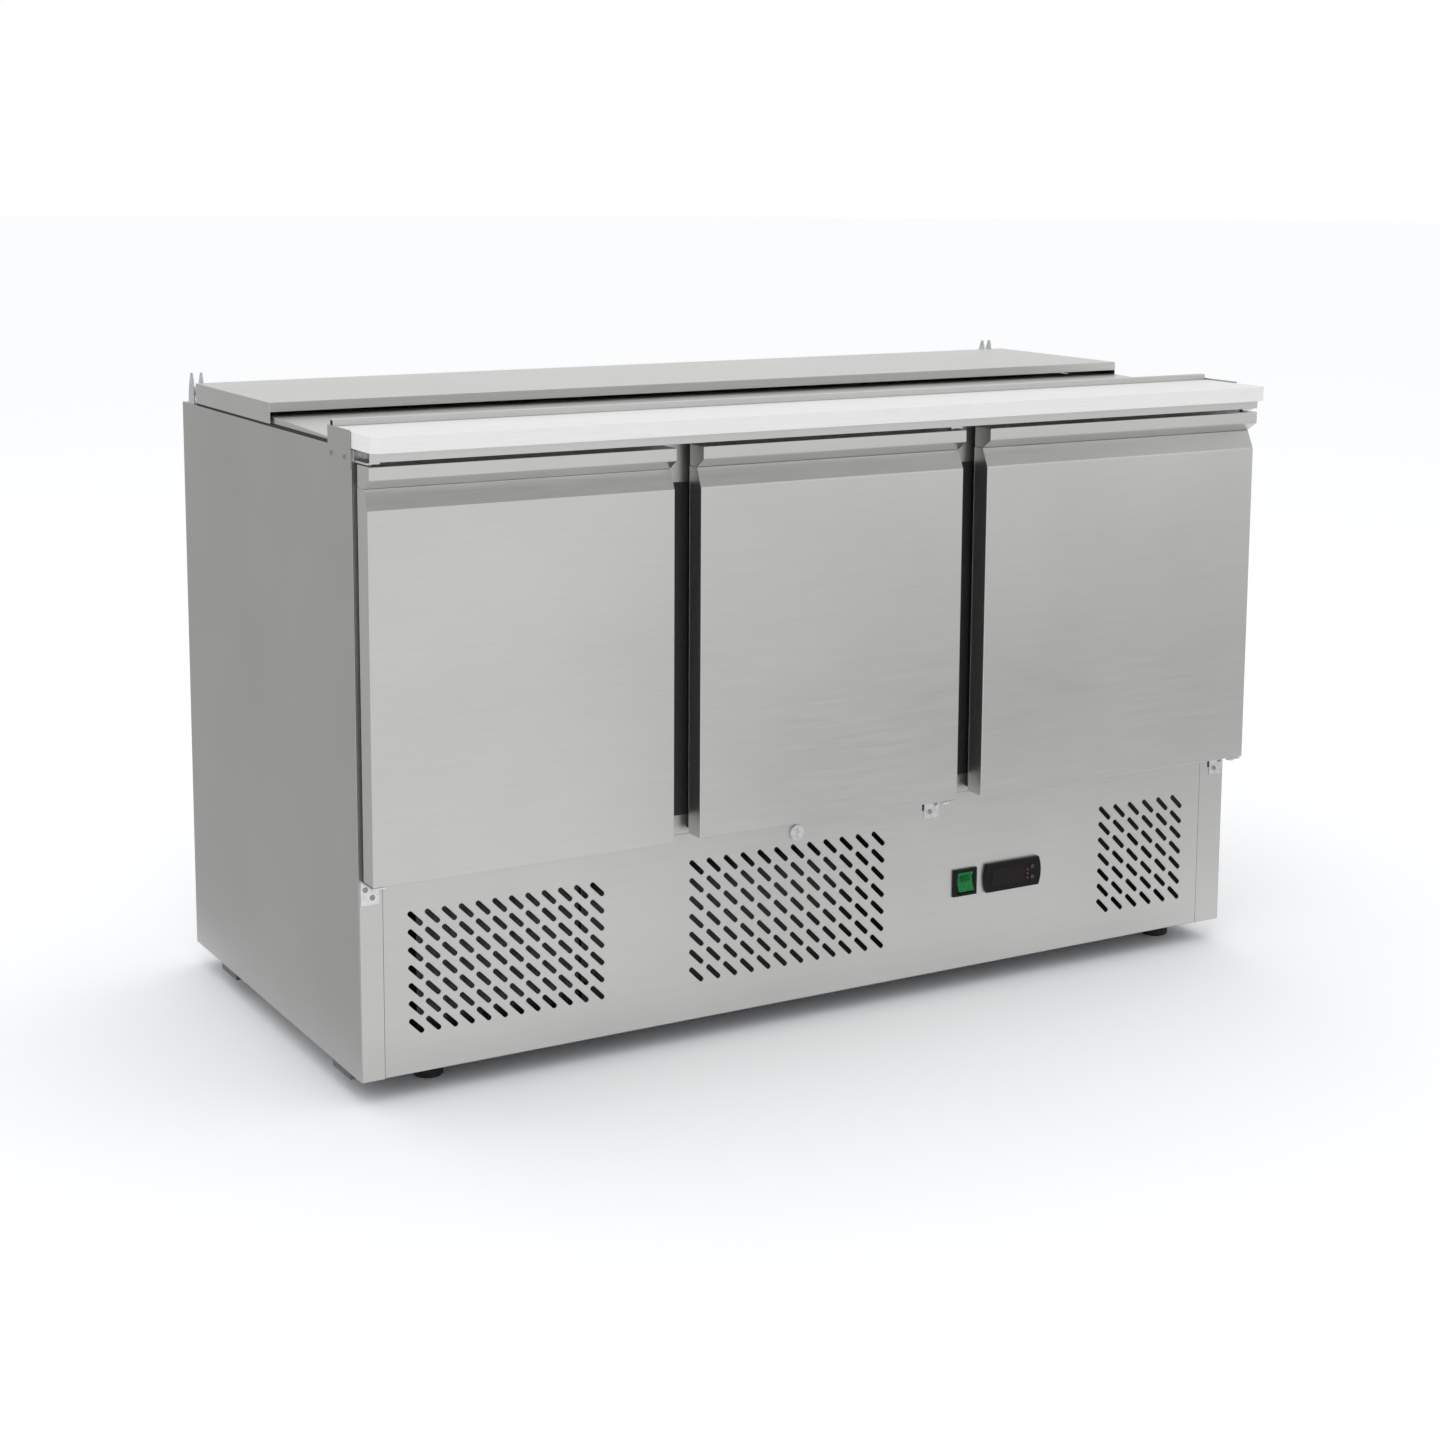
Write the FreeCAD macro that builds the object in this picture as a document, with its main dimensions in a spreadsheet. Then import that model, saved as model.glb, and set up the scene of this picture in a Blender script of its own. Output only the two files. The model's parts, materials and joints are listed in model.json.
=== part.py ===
import FreeCAD, Part
import math
import os
from types import SimpleNamespace

import Sketcher

# Three-door refrigerated sandwich prep table.
# Row frame: origin on the floor under the centre of the bounding box, +X to the
# right of a cook standing in front, +Y towards the back, +Z up, millimetres.

Vector = FreeCAD.Vector
Rotation = FreeCAD.Rotation
Placement = FreeCAD.Placement

DRIVING_SIZES = {
    "body_width": 1365.0,
    "total_depth": 700.0,
    "front_reach": 66.0,
    "foot_height": 32.0,
    "body_height": 782.0,
    "sheet": 1.2,
    "side_wall": 27.0,
    "back_wall": 41.0,
    "cold_floor": 312.0,
    "floor_wall": 36.0,
    "beam_bottom": 748.0,
    "beam_depth": 50.0,
    "left_stile_width": 31.0,
    "right_stile_width": 43.7,
    "mullion_width": 80.0,
    "door_left_start": -680.5,
    "door_left_end": -270.0,
    "door_middle_start": -232.0,
    "door_middle_end": 171.0,
    "door_right_start": 210.5,
    "door_right_end": 680.5,
    "door_bottom": 290.0,
    "door_slope_start": 745.0,
    "door_groove_height": 770.0,
    "lip_bottom": 782.0,
    "door_top": 798.0,
    "door_thickness": 30.0,
    "gasket_gap": 13.0,
    "groove_depth": 12.0,
    "lip_overhang": 6.0,
    "gasket_inset": 4.5,
    "gasket_width": 14.0,
    "hinge_inset": 9.5,
    "hinge_setback": 15.0,
    "hinge_pin_radius": 4.0,
    "running_clearance": 0.05,
    "panel_top": 286.0,
    "tray_overhang": 50.0,
    "tray_lip_bottom": 803.0,
    "tray_half": 679.5,
    "tray_back": -209.0,
    "upstand_top": 843.0,
    "board_depth": 129.5,
    "board_half": 682.0,
    "board_thickness": 19.7,
    "well_front": -198.0,
    "well_back": 286.0,
    "lid_half": 683.0,
    "lid_front": -7.0,
    "lid_back": 288.0,
    "lid_top": 844.5,
    "lid_flange_bottom": 817.3,
    "leaf_half": 679.0,
    "leaf_front": -206.0,
    "leaf_back": 20.0,
    "leaf_low": 821.0,
    "leaf_high": 827.3,
    "lid_pivot_back": 317.0,
    "lid_pivot_height": 829.0,
    "lid_pin_radius": 3.0,
    "foot_left": -565.0,
    "foot_right": 620.0,
    "foot_front": -215.0,
    "foot_rear": 212.0,
    "foot_plate_height": 9.0,
    "foot_stem_radius": 5.0,
    "shelf_height": 540.0,
    "shelf_wire_radius": 3.0,
    "fan_axis_left": -485.0,
    "fan_axis_height": 152.0,
    "fan_shaft_radius": 3.0,
    "evaporator_centre": -20.0,
    "evaporator_height": 545.0,
    "switch_centre": 216.6,
    "control_height": 156.3,
    "lock_centre": -60.0,
    "lock_height": 265.0,
    "lock_shank_radius": 4.0,
    "key_radius": 3.0,
    "key_column": 331.0,
    "key_spacing": 15.0,
}

doc = FreeCAD.newDocument("PrepTable")
sheet = doc.addObject("Spreadsheet::Sheet", "Dims")
for row, (alias, number) in enumerate(DRIVING_SIZES.items(), start=1):
    sheet.set(f"A{row}", alias)
    sheet.set(f"B{row}", str(number))
    sheet.setAlias(f"B{row}", alias)
doc.recompute()


class Size:
    """A length that carries its number and the sheet expression that gives it."""

    def __init__(self, value, text):
        self.value = float(value)
        self.text = text

    @staticmethod
    def of(other):
        return other if isinstance(other, Size) else Size(other, repr(float(other)))

    def __add__(self, other):
        other = Size.of(other)
        return Size(self.value + other.value, f"({self.text} + {other.text})")

    def __sub__(self, other):
        other = Size.of(other)
        return Size(self.value - other.value, f"({self.text} - {other.text})")

    def __mul__(self, other):
        other = Size.of(other)
        return Size(self.value * other.value, f"({self.text} * {other.text})")

    def __truediv__(self, other):
        other = Size.of(other)
        return Size(self.value / other.value, f"({self.text} / {other.text})")

    def __radd__(self, other):
        return Size.of(other) + self

    def __rsub__(self, other):
        return Size.of(other) - self

    def __rmul__(self, other):
        return Size.of(other) * self

    def __neg__(self):
        return Size(-self.value, f"(-{self.text})")


D = SimpleNamespace(**{
    alias: Size(sheet.get(alias), f"Dims.{alias}") for alias in DRIVING_SIZES
})

# Planes that many pieces share.
HALF = D.body_width / 2
FRONT = D.front_reach - D.total_depth / 2
BACK = D.total_depth / 2 - 1.0
BOTTOM = D.foot_height
TOP = D.foot_height + D.body_height
FRAME_TOP = TOP - 0.2
UNDER_FRAME = FRAME_TOP - D.sheet
INNER = HALF - D.side_wall
COLD_BACK = BACK + 1.0 - D.back_wall
DOOR_REAR = FRONT - D.gasket_gap
DOOR_FACE = DOOR_REAR - D.door_thickness
DOOR_GROOVE = DOOR_FACE + D.groove_depth
DOOR_LIP = DOOR_FACE - D.lip_overhang
HINGE_LINE = DOOR_REAR - D.hinge_setback
TRAY_FRONT = FRONT - D.tray_overhang
BOARD_FRONT = -D.total_depth / 2
TRAY_TOP = TOP + 1.0
GAP_LEFT = (D.door_left_end + D.door_middle_start) / 2
GAP_RIGHT = (D.door_middle_end + D.door_right_start) / 2

DOORS = {
    "left": (D.door_left_start, D.door_left_end, "left"),
    "middle": (D.door_middle_start, D.door_middle_end, "right"),
    "right": (D.door_right_start, D.door_right_end, "right"),
}
FEET = {
    "front_left": (D.foot_left, D.foot_front),
    "front_right": (D.foot_right, D.foot_front),
    "rear_left": (D.foot_left, D.foot_rear),
    "rear_right": (D.foot_right, D.foot_rear),
}
AXIS_TURNS = {
    "X": Rotation(Vector(0, 0, 1), Vector(1, 0, 0)),
    "Y": Rotation(Vector(0, 0, 1), Vector(0, 1, 0)),
    "Z": Rotation(),
}
NODES = {}


def node(label, piece):
    """Give a finished piece the label that names its file."""
    piece.Label = label
    NODES[label] = piece
    return piece


def bind(piece, prop, size):
    """Bind one property of a piece to its sheet expression."""
    piece.setExpression(prop, Size.of(size).text)


def place(piece, x, y, z):
    """Bind the position of a piece to the sheet."""
    for letter, size in zip("xyz", (x, y, z)):
        bind(piece, f"Placement.Base.{letter}", size)
    return piece


def block(x, y, z):
    """A box between two planes on each axis."""
    piece = doc.addObject("Part::Box", "Block")
    for prop, (low, high) in zip(("Length", "Width", "Height"), (x, y, z)):
        bind(piece, prop, Size.of(high) - low)
    return place(piece, x[0], y[0], z[0])


def rod(axis, start, radius, length):
    """A round bar from its start point along one axis."""
    piece = doc.addObject("Part::Cylinder", "Rod")
    bind(piece, "Radius", radius)
    bind(piece, "Height", length)
    piece.Placement = Placement(Vector(), AXIS_TURNS[axis])
    return place(piece, *start)


def fused(*pieces):
    """Pieces welded or moulded into one."""
    piece = doc.addObject("Part::MultiFuse", "Fused")
    piece.Shapes = list(pieces)
    return piece


def cut(base, *tools):
    """A piece with openings."""
    piece = doc.addObject("Part::Cut", "Opened")
    piece.Base = base
    piece.Tool = tools[0] if len(tools) == 1 else fused(*tools)
    return piece


def separate(*pieces):
    """Identical pieces kept apart in one node."""
    piece = doc.addObject("Part::Compound", "Set")
    piece.Links = list(pieces)
    return piece


def origin_plane(body, role):
    """One of a body's own origin planes."""
    return next(item for item in body.Origin.OriginFeatures if item.Role == role)


def closed_sketch(body, role, points):
    """A fully constrained closed outline on one of the body's origin planes."""
    sketch = body.newObject("Sketcher::SketchObject", "Outline")
    sketch.AttachmentSupport = [(origin_plane(body, role), "")]
    sketch.MapMode = "FlatFace"
    sizes = [(Size.of(a), Size.of(b)) for a, b in points]
    corners = [Vector(a.value, b.value, 0) for a, b in sizes]
    count = len(corners)
    for index, corner in enumerate(corners):
        sketch.addGeometry(Part.LineSegment(corner, corners[(index + 1) % count]))
    for index in range(count):
        sketch.addConstraint(Sketcher.Constraint("Coincident", index, 2, (index + 1) % count, 1))
    for index, pair in enumerate(sizes):
        for kind, axis_line, size in zip(("DistanceX", "DistanceY"), (-2, -1), pair):
            if abs(size.value) < 1e-9:
                sketch.addConstraint(Sketcher.Constraint("PointOnObject", index, 1, axis_line))
                continue
            at = sketch.addConstraint(Sketcher.Constraint(kind, -1, 1, index, 1, size.value))
            sketch.setExpression(f"Constraints[{at}]", size.text)
    return sketch


def padded(role, points, length):
    """A body made by padding one closed outline."""
    body = doc.addObject("PartDesign::Body", "Body")
    pad = body.newObject("PartDesign::Pad", "Pad")
    pad.Profile = closed_sketch(body, role, points)
    bind(pad, "Length", length)
    return body


def extruded_x(x, points):
    """An outline in Y and Z padded along X."""
    body = padded("YZ_Plane", points, Size.of(x[1]) - x[0])
    bind(body, "Placement.Base.x", x[0])
    return body


def turned(axis, centre, points):
    """A body turned about one axis from (radius, height) points."""
    body = doc.addObject("PartDesign::Body", "Body")
    sketch = closed_sketch(body, "XZ_Plane", points)
    revolution = body.newObject("PartDesign::Revolution", "Revolution")
    revolution.Profile = sketch
    revolution.ReferenceAxis = (sketch, ["V_Axis"])
    revolution.Angle = 360.0
    body.Placement = Placement(Vector(), AXIS_TURNS[axis])
    return place(body, *centre)


def mirrored_pair(maker):
    """The same piece on the left and the right side of the cabinet."""
    return separate(maker(-1.0), maker(1.0))


def span(side, near, far):
    """An X range at the given side, from two distances to the middle."""
    return (near, far) if side > 0 else (-Size.of(far), -Size.of(near))


def fixed(label, shape):
    """A piece whose shape is worked out here from the sheet's sizes."""
    piece = doc.addObject("Part::Feature", "Worked")
    piece.Shape = shape
    return node(label, piece)


# ---------------------------------------------------------------- cabinet shell

def cabinet_shell():
    """Outer sheets, foam walls and liners of the cold box."""
    behind = (FRONT + D.sheet, BACK - D.sheet)
    node("side_panel_left", block((-HALF, -HALF + D.sheet), (FRONT, BACK), (BOTTOM, TOP)))
    node("side_panel_right", block((HALF - D.sheet, HALF), (FRONT, BACK), (BOTTOM, TOP)))
    foam_low = D.cold_floor - D.floor_wall
    foam_x = (-INNER - 1.0, INNER + 1.0)
    sides = [
        block(span(side, INNER + 1.0, HALF - D.sheet), behind, (foam_low, UNDER_FRAME))
        for side in (-1.0, 1.0)
    ]
    rear = block(foam_x, (COLD_BACK + 1.0, BACK - D.sheet), (foam_low, UNDER_FRAME))
    floor = block(foam_x, (FRONT + D.sheet, COLD_BACK + 1.0), (foam_low, D.cold_floor - 1.0))
    node("wall_foam", separate(*sides, rear, floor))
    liner_z = (D.cold_floor, UNDER_FRAME)
    liner_y = (FRONT + D.sheet, COLD_BACK + 1.0)
    liner_ends = [block(span(side, INNER, INNER + 1.0), liner_y, liner_z) for side in (-1.0, 1.0)]
    liner_rear = block((-INNER, INNER), (COLD_BACK, COLD_BACK + 1.0), liner_z)
    node("liner_walls", separate(liner_rear, *liner_ends))
    node("liner_floor", block((-INNER, INNER), (FRONT + D.sheet, COLD_BACK + 1.0),
                              (D.cold_floor - 1.0, D.cold_floor)))


def front_frame():
    """Stiles, mullions, sill and top beam that the doors close against."""
    face = (FRONT, FRONT + D.sheet)
    stile_z = (BOTTOM, UNDER_FRAME)
    left = block((-HALF + D.sheet, -HALF + D.left_stile_width), face, stile_z)
    right = block((HALF - D.right_stile_width, HALF - D.sheet), face, stile_z)
    opening = (-HALF + D.left_stile_width, HALF - D.right_stile_width)
    sill = block(opening, face, (D.panel_top + 0.5, D.cold_floor))
    node("door_frame", separate(left, right, sill))
    half = D.mullion_width / 2
    node("mullions", separate(*[
        block((centre - half, centre + half), (FRONT, FRONT + 40.0),
              (D.cold_floor, D.beam_bottom))
        for centre in (GAP_LEFT, GAP_RIGHT)
    ]))
    beam = block((-INNER, INNER), (FRONT + D.sheet, FRONT + D.beam_depth),
                 (D.beam_bottom, UNDER_FRAME))
    beam_face = block(opening, face, (D.beam_bottom, UNDER_FRAME))
    node("front_beam", fused(beam, beam_face))


def machine_base():
    """Bottom tray and the four corner plates that carry the feet."""
    tray = block((-HALF + D.sheet, HALF - D.sheet), (FRONT + D.sheet, BACK - D.sheet),
                 (BOTTOM, BOTTOM + D.sheet))
    holes = [
        rod("Z", (x, y, BOTTOM - 5.0), D.foot_stem_radius + 1.0, 20.0)
        for x, y in FEET.values()
    ]
    node("base_tray", cut(tray, *holes))
    plates = []
    for x, y in FEET.values():
        edges = (-HALF + D.sheet, Size.of(-530.0)) if x.value < 0 else (Size.of(530.0), HALF - D.sheet)
        plate = block(edges, (y - 30.0, y + 30.0), (BOTTOM - D.foot_plate_height, BOTTOM))
        bore = rod("Z", (x, y, BOTTOM - 20.0), D.foot_stem_radius + D.running_clearance, 40.0)
        plates.append(cut(plate, bore))
    node("foot_plates", separate(*plates))


def feet():
    """Screw-in levelling feet."""
    for name, (x, y) in FEET.items():
        outline = [(0, 0), (17.5, 0), (19, 1.5), (19, 10), (12, 13), (12, 20),
                   (D.foot_stem_radius, 20), (D.foot_stem_radius, 46), (0, 46)]
        node(f"foot_{name}", turned("Z", (x, y, 0), outline))


def slot_shape(x, z, length, width, y, depth):
    """One obround slot that leans from upper left to lower right."""
    straight = (length - width) / 2
    radius = width / 2
    ends = [Vector(-straight, 0, 0), Vector(straight, 0, 0)]
    left, right = ends
    up = Vector(0, radius, 0)
    outline = Part.Wire([
        Part.LineSegment(left + up, right + up).toShape(),
        Part.Arc(right + up, right + Vector(radius, 0, 0), right - up).toShape(),
        Part.LineSegment(right - up, left - up).toShape(),
        Part.Arc(left - up, left - Vector(radius, 0, 0), left + up).toShape(),
    ])
    solid = Part.Face(outline).extrude(Vector(0, 0, depth))
    solid.Placement = Placement(Vector(x, y, z), Rotation(Vector(1, 0, 0), 90.0)).multiply(
        Placement(Vector(), Rotation(Vector(0, 0, 1), -45.0)))
    return solid


# Each grille: centre X and Z, column and row pitch, columns and rows, slot length.
GRILLES = [
    (-483.5, 161.5, 22.8, 22.9, 12, 7, 26.0),
    (-70.4, 165.6, 25.8, 24.2, 12, 7, 28.0),
    (529.0, 153.6, 26.5, 23.0, 6, 7, 28.0),
]
SLOT_WIDTH = 7.0


def service_panel():
    """Lower front panel with three slotted grilles and the control cut-outs."""
    left = (-HALF + D.left_stile_width).value + 0.5
    right = (HALF - D.right_stile_width).value - 0.5
    low = BOTTOM.value + 1.0
    face = FRONT.value
    plate = Part.makeBox(right - left, D.sheet.value, D.panel_top.value - low,
                         Vector(left, face, low))
    tools = []
    for centre_x, centre_z, pitch_x, pitch_z, columns, rows, length in GRILLES:
        for column in range(columns):
            for line in range(rows):
                x = centre_x + (column - (columns - 1) / 2) * pitch_x
                z = centre_z + (line - (rows - 1) / 2) * pitch_z
                tools.append(slot_shape(x, z, length, SLOT_WIDTH, face + 5.0, 10.0))
    switch_x = D.switch_centre.value
    level = D.control_height.value
    tools.append(Part.makeBox(34.0, 10.0, 33.0, Vector(switch_x - 17.0, face - 4.0, level - 16.5)))
    tools.append(Part.makeBox(87.0, 10.0, 34.0, Vector(254.0, face - 4.0, level - 17.0)))
    shank = D.lock_shank_radius.value + D.running_clearance.value
    tools.append(Part.makeCylinder(shank, 10.0, Vector(D.lock_centre.value, face - 4.0,
                                                       D.lock_height.value), Vector(0, 1, 0)))
    fixed("service_panel", plate.cut(Part.makeCompound(tools)))


def back_panel():
    """Rear sheet with vent slots for the machine space and the cable hole."""
    plate = Part.makeBox((HALF - D.sheet).value * 2, D.sheet.value, D.body_height.value,
                         Vector(-(HALF - D.sheet).value, (BACK - D.sheet).value, BOTTOM.value))
    tools = []
    for column in range(34):
        for z in (95.0, 165.0):
            x = (column - 16.5) * 24.0
            tools.append(Part.makeBox(8.0, 10.0, 50.0, Vector(x - 4.0, BACK.value - 5.0, z)))
    tools.append(Part.makeCylinder(10.2, 10.0, Vector(560, BACK.value - 5.0, 120), Vector(0, 1, 0)))
    fixed("back_panel", plate.cut(Part.makeCompound(tools)))


def power_gland():
    """Cable gland in the back panel: inner nut, threaded neck and outer flange."""
    outline = [(4.2, -20), (14, -20), (14, -1.2), (10, -1.2), (10, 0), (14, 0), (14, 1), (4.2, 1)]
    node("power_gland", turned("Y", (560, BACK, 120), outline))


# ------------------------------------------------------------------ top of the table

def well():
    """Frame round the pan opening, its seal and the bars between the pans."""
    level = (UNDER_FRAME, FRAME_TOP)
    edge = HALF - D.sheet
    front = block((-edge, edge), (FRONT, D.well_front), level)
    rear = block((-edge, edge), (D.well_back, BACK - D.sheet), level)
    sides = [
        block(span(side, INNER, edge), (D.well_front, D.well_back), level)
        for side in (-1.0, 1.0)
    ]
    node("well_frame", separate(front, rear, *sides))
    seal_z = (FRAME_TOP, FRAME_TOP + 3.2)
    seal_y = (D.well_front - 10.0, D.well_back + 3.5)
    seal_ends = [
        block(span(side, edge - 14.0, edge), seal_y, seal_z) for side in (-1.0, 1.0)
    ]
    seal_front = block((14.0 - edge, edge - 14.0), (seal_y[0], D.well_front), seal_z)
    seal_rear = block((14.0 - edge, edge - 14.0), (D.well_back + 0.5, seal_y[1]), seal_z)
    node("well_seal", separate(seal_front, seal_rear, *seal_ends))
    pitch = INNER / 2
    node("pan_bars", separate(*[
        block((step * pitch - 6.0, step * pitch + 6.0), (FRONT + D.beam_depth, COLD_BACK),
              (UNDER_FRAME - 12.6, UNDER_FRAME))
        for step in (-1.0, 0.0, 1.0)
    ]))


def board_tray():
    """Folded steel tray under the cutting board, with its end plates."""
    gauge = D.sheet
    rise = D.tray_back - 10.0
    outline = [
        (TRAY_FRONT, D.tray_lip_bottom), (TRAY_FRONT, TRAY_TOP), (rise, TRAY_TOP),
        (rise, D.upstand_top), (D.tray_back, D.upstand_top), (D.tray_back, TRAY_TOP),
        (D.tray_back - gauge, TRAY_TOP), (D.tray_back - gauge, D.upstand_top - gauge),
        (rise + gauge, D.upstand_top - gauge), (rise + gauge, TRAY_TOP - gauge),
        (TRAY_FRONT + gauge, TRAY_TOP - gauge), (TRAY_FRONT + gauge, D.tray_lip_bottom),
    ]
    node("board_tray", extruded_x((-D.tray_half, D.tray_half), outline))
    node("tray_end_plates", mirrored_pair(
        lambda side: block(span(side, HALF, HALF + D.sheet), (FRONT, FRONT + 73.0),
                           (TOP - 24.0, TOP + 23.0))))


def cutting_board():
    """Removable plastic board with rounded corners."""
    level = TRAY_TOP.value + 0.3
    half = D.board_half.value
    plate = Part.makeBox(2 * half, D.board_depth.value, D.board_thickness.value,
                         Vector(-half, BOARD_FRONT.value, level))
    corners = [
        edge for edge in plate.Edges
        if abs(edge.Vertexes[0].X - edge.Vertexes[-1].X) < 1e-6
        and abs(edge.Vertexes[0].Y - edge.Vertexes[-1].Y) < 1e-6
        and edge.Vertexes[0].Y < BOARD_FRONT.value + 1.0
    ]
    rounded = plate.makeFillet(12.0, corners)
    fixed("cutting_board", rounded)


def lid():
    """Rear lid leaf, the lower front leaf that slides under it, and the hinge arms."""
    gauge = D.sheet
    depth = (D.lid_front, D.lid_back)
    sides = [
        block(span(side, D.lid_half - gauge, D.lid_half), depth, (D.lid_flange_bottom, D.lid_top))
        for side in (-1.0, 1.0)
    ]
    width = (-D.lid_half, D.lid_half)
    deck = block(width, depth, (D.lid_top - gauge, D.lid_top))
    nose = block(width, (D.lid_front, D.lid_front + gauge), (D.lid_top - 12.5, D.lid_top))
    tail = block(width, (D.lid_back - gauge, D.lid_back), (D.lid_flange_bottom, D.lid_top))
    node("lid_rear", fused(deck, nose, tail, *sides))

    low, high, foot = D.leaf_low, D.leaf_high, D.lid_flange_bottom
    sheet_outline = [
        (D.leaf_front, foot), (D.leaf_front, low), (D.leaf_back, high),
        (D.leaf_back, high - gauge), (D.leaf_front + gauge, low - gauge),
        (D.leaf_front + gauge, foot),
    ]
    cheek = [(D.leaf_front, foot), (D.leaf_front, low), (D.leaf_back, high), (D.leaf_back, foot)]
    cheeks = [
        extruded_x(span(side, D.leaf_half - gauge, D.leaf_half), cheek) for side in (-1.0, 1.0)
    ]
    leaf = extruded_x((-D.leaf_half, D.leaf_half), sheet_outline)
    node("lid_front", fused(leaf, *cheeks))

    def arm(side):
        x = span(side, 670.0, 674.0)
        bar = block(x, (D.lid_back, D.lid_pivot_back),
                    (D.lid_pivot_height - 6.0, D.lid_pivot_height + 6.0))
        start = (x[0], D.lid_pivot_back, D.lid_pivot_height)
        eye = rod("X", start, 8.0, 4.0)
        bore = rod("X", (x[0] - 1.0, start[1], start[2]),
                   D.lid_pin_radius + D.running_clearance, 6.0)
        return cut(fused(bar, eye), bore)

    node("lid_arms", mirrored_pair(arm))


def lid_posts():
    """Pointed hinge posts at the rear corners, each with its pivot pin."""
    y, z = D.lid_pivot_back, D.lid_pivot_height
    base_top = FRAME_TOP + 2.2
    ear = [(y - 11.0, base_top), (y + 13.0, base_top), (y + 10.0, z + 9.0),
           (y + 2.0, z + 27.5), (y - 2.0, z + 27.5), (y - 8.0, z + 9.0)]

    def post(side):
        base = block(span(side, 662.0, 681.0), (y - 14.0, y + 16.0), (FRAME_TOP, base_top))
        ears = [extruded_x(span(side, near, near + 2.5), ear) for near in (664.0, 677.5)]
        pin = rod("X", (span(side, 664.0, 680.0)[0], y, z), D.lid_pin_radius, 16.0)
        return fused(base, pin, *ears)

    node("lid_posts", mirrored_pair(post))


# ------------------------------------------------------------------ doors and hinges

def hinge_x(start, end, side):
    """X of the vertical hinge line of a door."""
    return start + D.hinge_inset if side == "left" else end - D.hinge_inset


def door_skin(start, end):
    """Outer door pan: flat face, upper part leaning back to the finger groove."""
    outline = [
        (DOOR_REAR, D.door_bottom), (DOOR_FACE, D.door_bottom),
        (DOOR_FACE, D.door_slope_start), (DOOR_GROOVE, D.door_groove_height),
        (DOOR_REAR, D.door_groove_height),
    ]
    body = extruded_x((start, end), outline)
    hollow = block((start + D.sheet, end - D.sheet), (DOOR_FACE + D.sheet, DOOR_REAR + 1.0),
                   (D.door_bottom + D.sheet, D.door_slope_start - 1.0))
    return body, hollow


def door_handle(start, end):
    """Full-width lip at the top of a door."""
    outline = [
        (DOOR_REAR, D.door_groove_height), (DOOR_GROOVE, D.door_groove_height),
        (DOOR_LIP, D.lip_bottom), (DOOR_LIP, D.door_top), (DOOR_REAR, D.door_top),
    ]
    return extruded_x((start, end), outline)


def door_liner(start, end):
    """Inner door panel with the foam block behind it and its raised centre."""
    foam = block((start + 1.5, end - 1.5), (DOOR_FACE + 1.5, DOOR_REAR),
                 (D.door_bottom + 1.5, D.door_slope_start - 1.3))
    plate = block((start + 0.5, end - 0.5), (DOOR_REAR, DOOR_REAR + 1.0),
                  (D.door_bottom + 0.5, D.door_groove_height - 0.5))
    raised = block((start + 34.0, end - 34.0), (DOOR_REAR + 1.0, DOOR_REAR + 8.0),
                   (D.door_bottom + 36.0, D.door_groove_height - 36.0))
    return fused(foam, plate, raised)


def door_gasket(start, end):
    """Black magnetic seal on the back of a door."""
    y = (DOOR_REAR + 1.0, FRONT - 1.0)
    inset, width = D.gasket_inset, D.gasket_width
    outer_x = (start + inset, end - inset)
    outer_z = (D.door_bottom + inset, D.door_groove_height - inset)
    ring = block(outer_x, y, outer_z)
    window = block((outer_x[0] + width, outer_x[1] - width), (y[0] - 1.0, y[1] + 1.0),
                   (outer_z[0] + width, outer_z[1] - width))
    return cut(ring, window)


def doors():
    """The three doors; the hinge pins run in bores in skin, liner and handle."""
    bore_radius = D.hinge_pin_radius + D.running_clearance
    for name, (start, end, side) in DOORS.items():
        x = hinge_x(start, end, side)

        def pin_bore(low, high):
            return rod("Z", (x, HINGE_LINE, low), bore_radius, high - low)

        low_bore = (D.door_bottom - 2.0, D.door_bottom + 17.0)
        body, hollow = door_skin(start, end)
        node(f"door_{name}_skin", cut(body, hollow, pin_bore(*low_bore)))
        node(f"door_{name}_liner", cut(door_liner(start, end), pin_bore(*low_bore)))
        node(f"door_{name}_handle",
             cut(door_handle(start, end), pin_bore(D.door_top - 15.0, D.door_top + 1.0)))
        node(f"door_{name}_gasket", door_gasket(start, end))


def hinges():
    """Lower and upper hinge brackets with their pins."""
    reach = (HINGE_LINE - 11.0, FRONT)
    plate_y = (FRONT - D.sheet, FRONT)
    lower, upper = [], []
    for start, end, side in DOORS.values():
        x = hinge_x(start, end, side)
        inboard = 15.0
        plate_x = (x - 9.0, x + inboard) if side == "left" else (x - inboard, x + 9.0)
        plate = block(plate_x, plate_y, (D.panel_top - 30.0, D.panel_top + 2.5))
        arm = block((x - 9.0, x + 9.0), reach, (D.panel_top, D.panel_top + 2.5))
        pin = rod("Z", (x, HINGE_LINE, D.panel_top - 3.0), D.hinge_pin_radius, 22.0)
        head = rod("Z", (x, HINGE_LINE, D.panel_top - 3.0), 6.0, 3.0)
        lower.append(fused(plate, arm, pin, head))
        arm_z = (D.door_top + 1.5, D.door_top + 4.0)
        wall = block((x - 9.0, x + 9.0), plate_y, (arm_z[0], UNDER_FRAME))
        top_arm = block((x - 9.0, x + 9.0), reach, arm_z)
        top_pin = rod("Z", (x, HINGE_LINE, D.door_top - 13.0), D.hinge_pin_radius, 17.0)
        upper.append(fused(wall, top_arm, top_pin))
    node("lower_hinges", separate(*lower))
    node("upper_hinges", separate(*upper))


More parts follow.
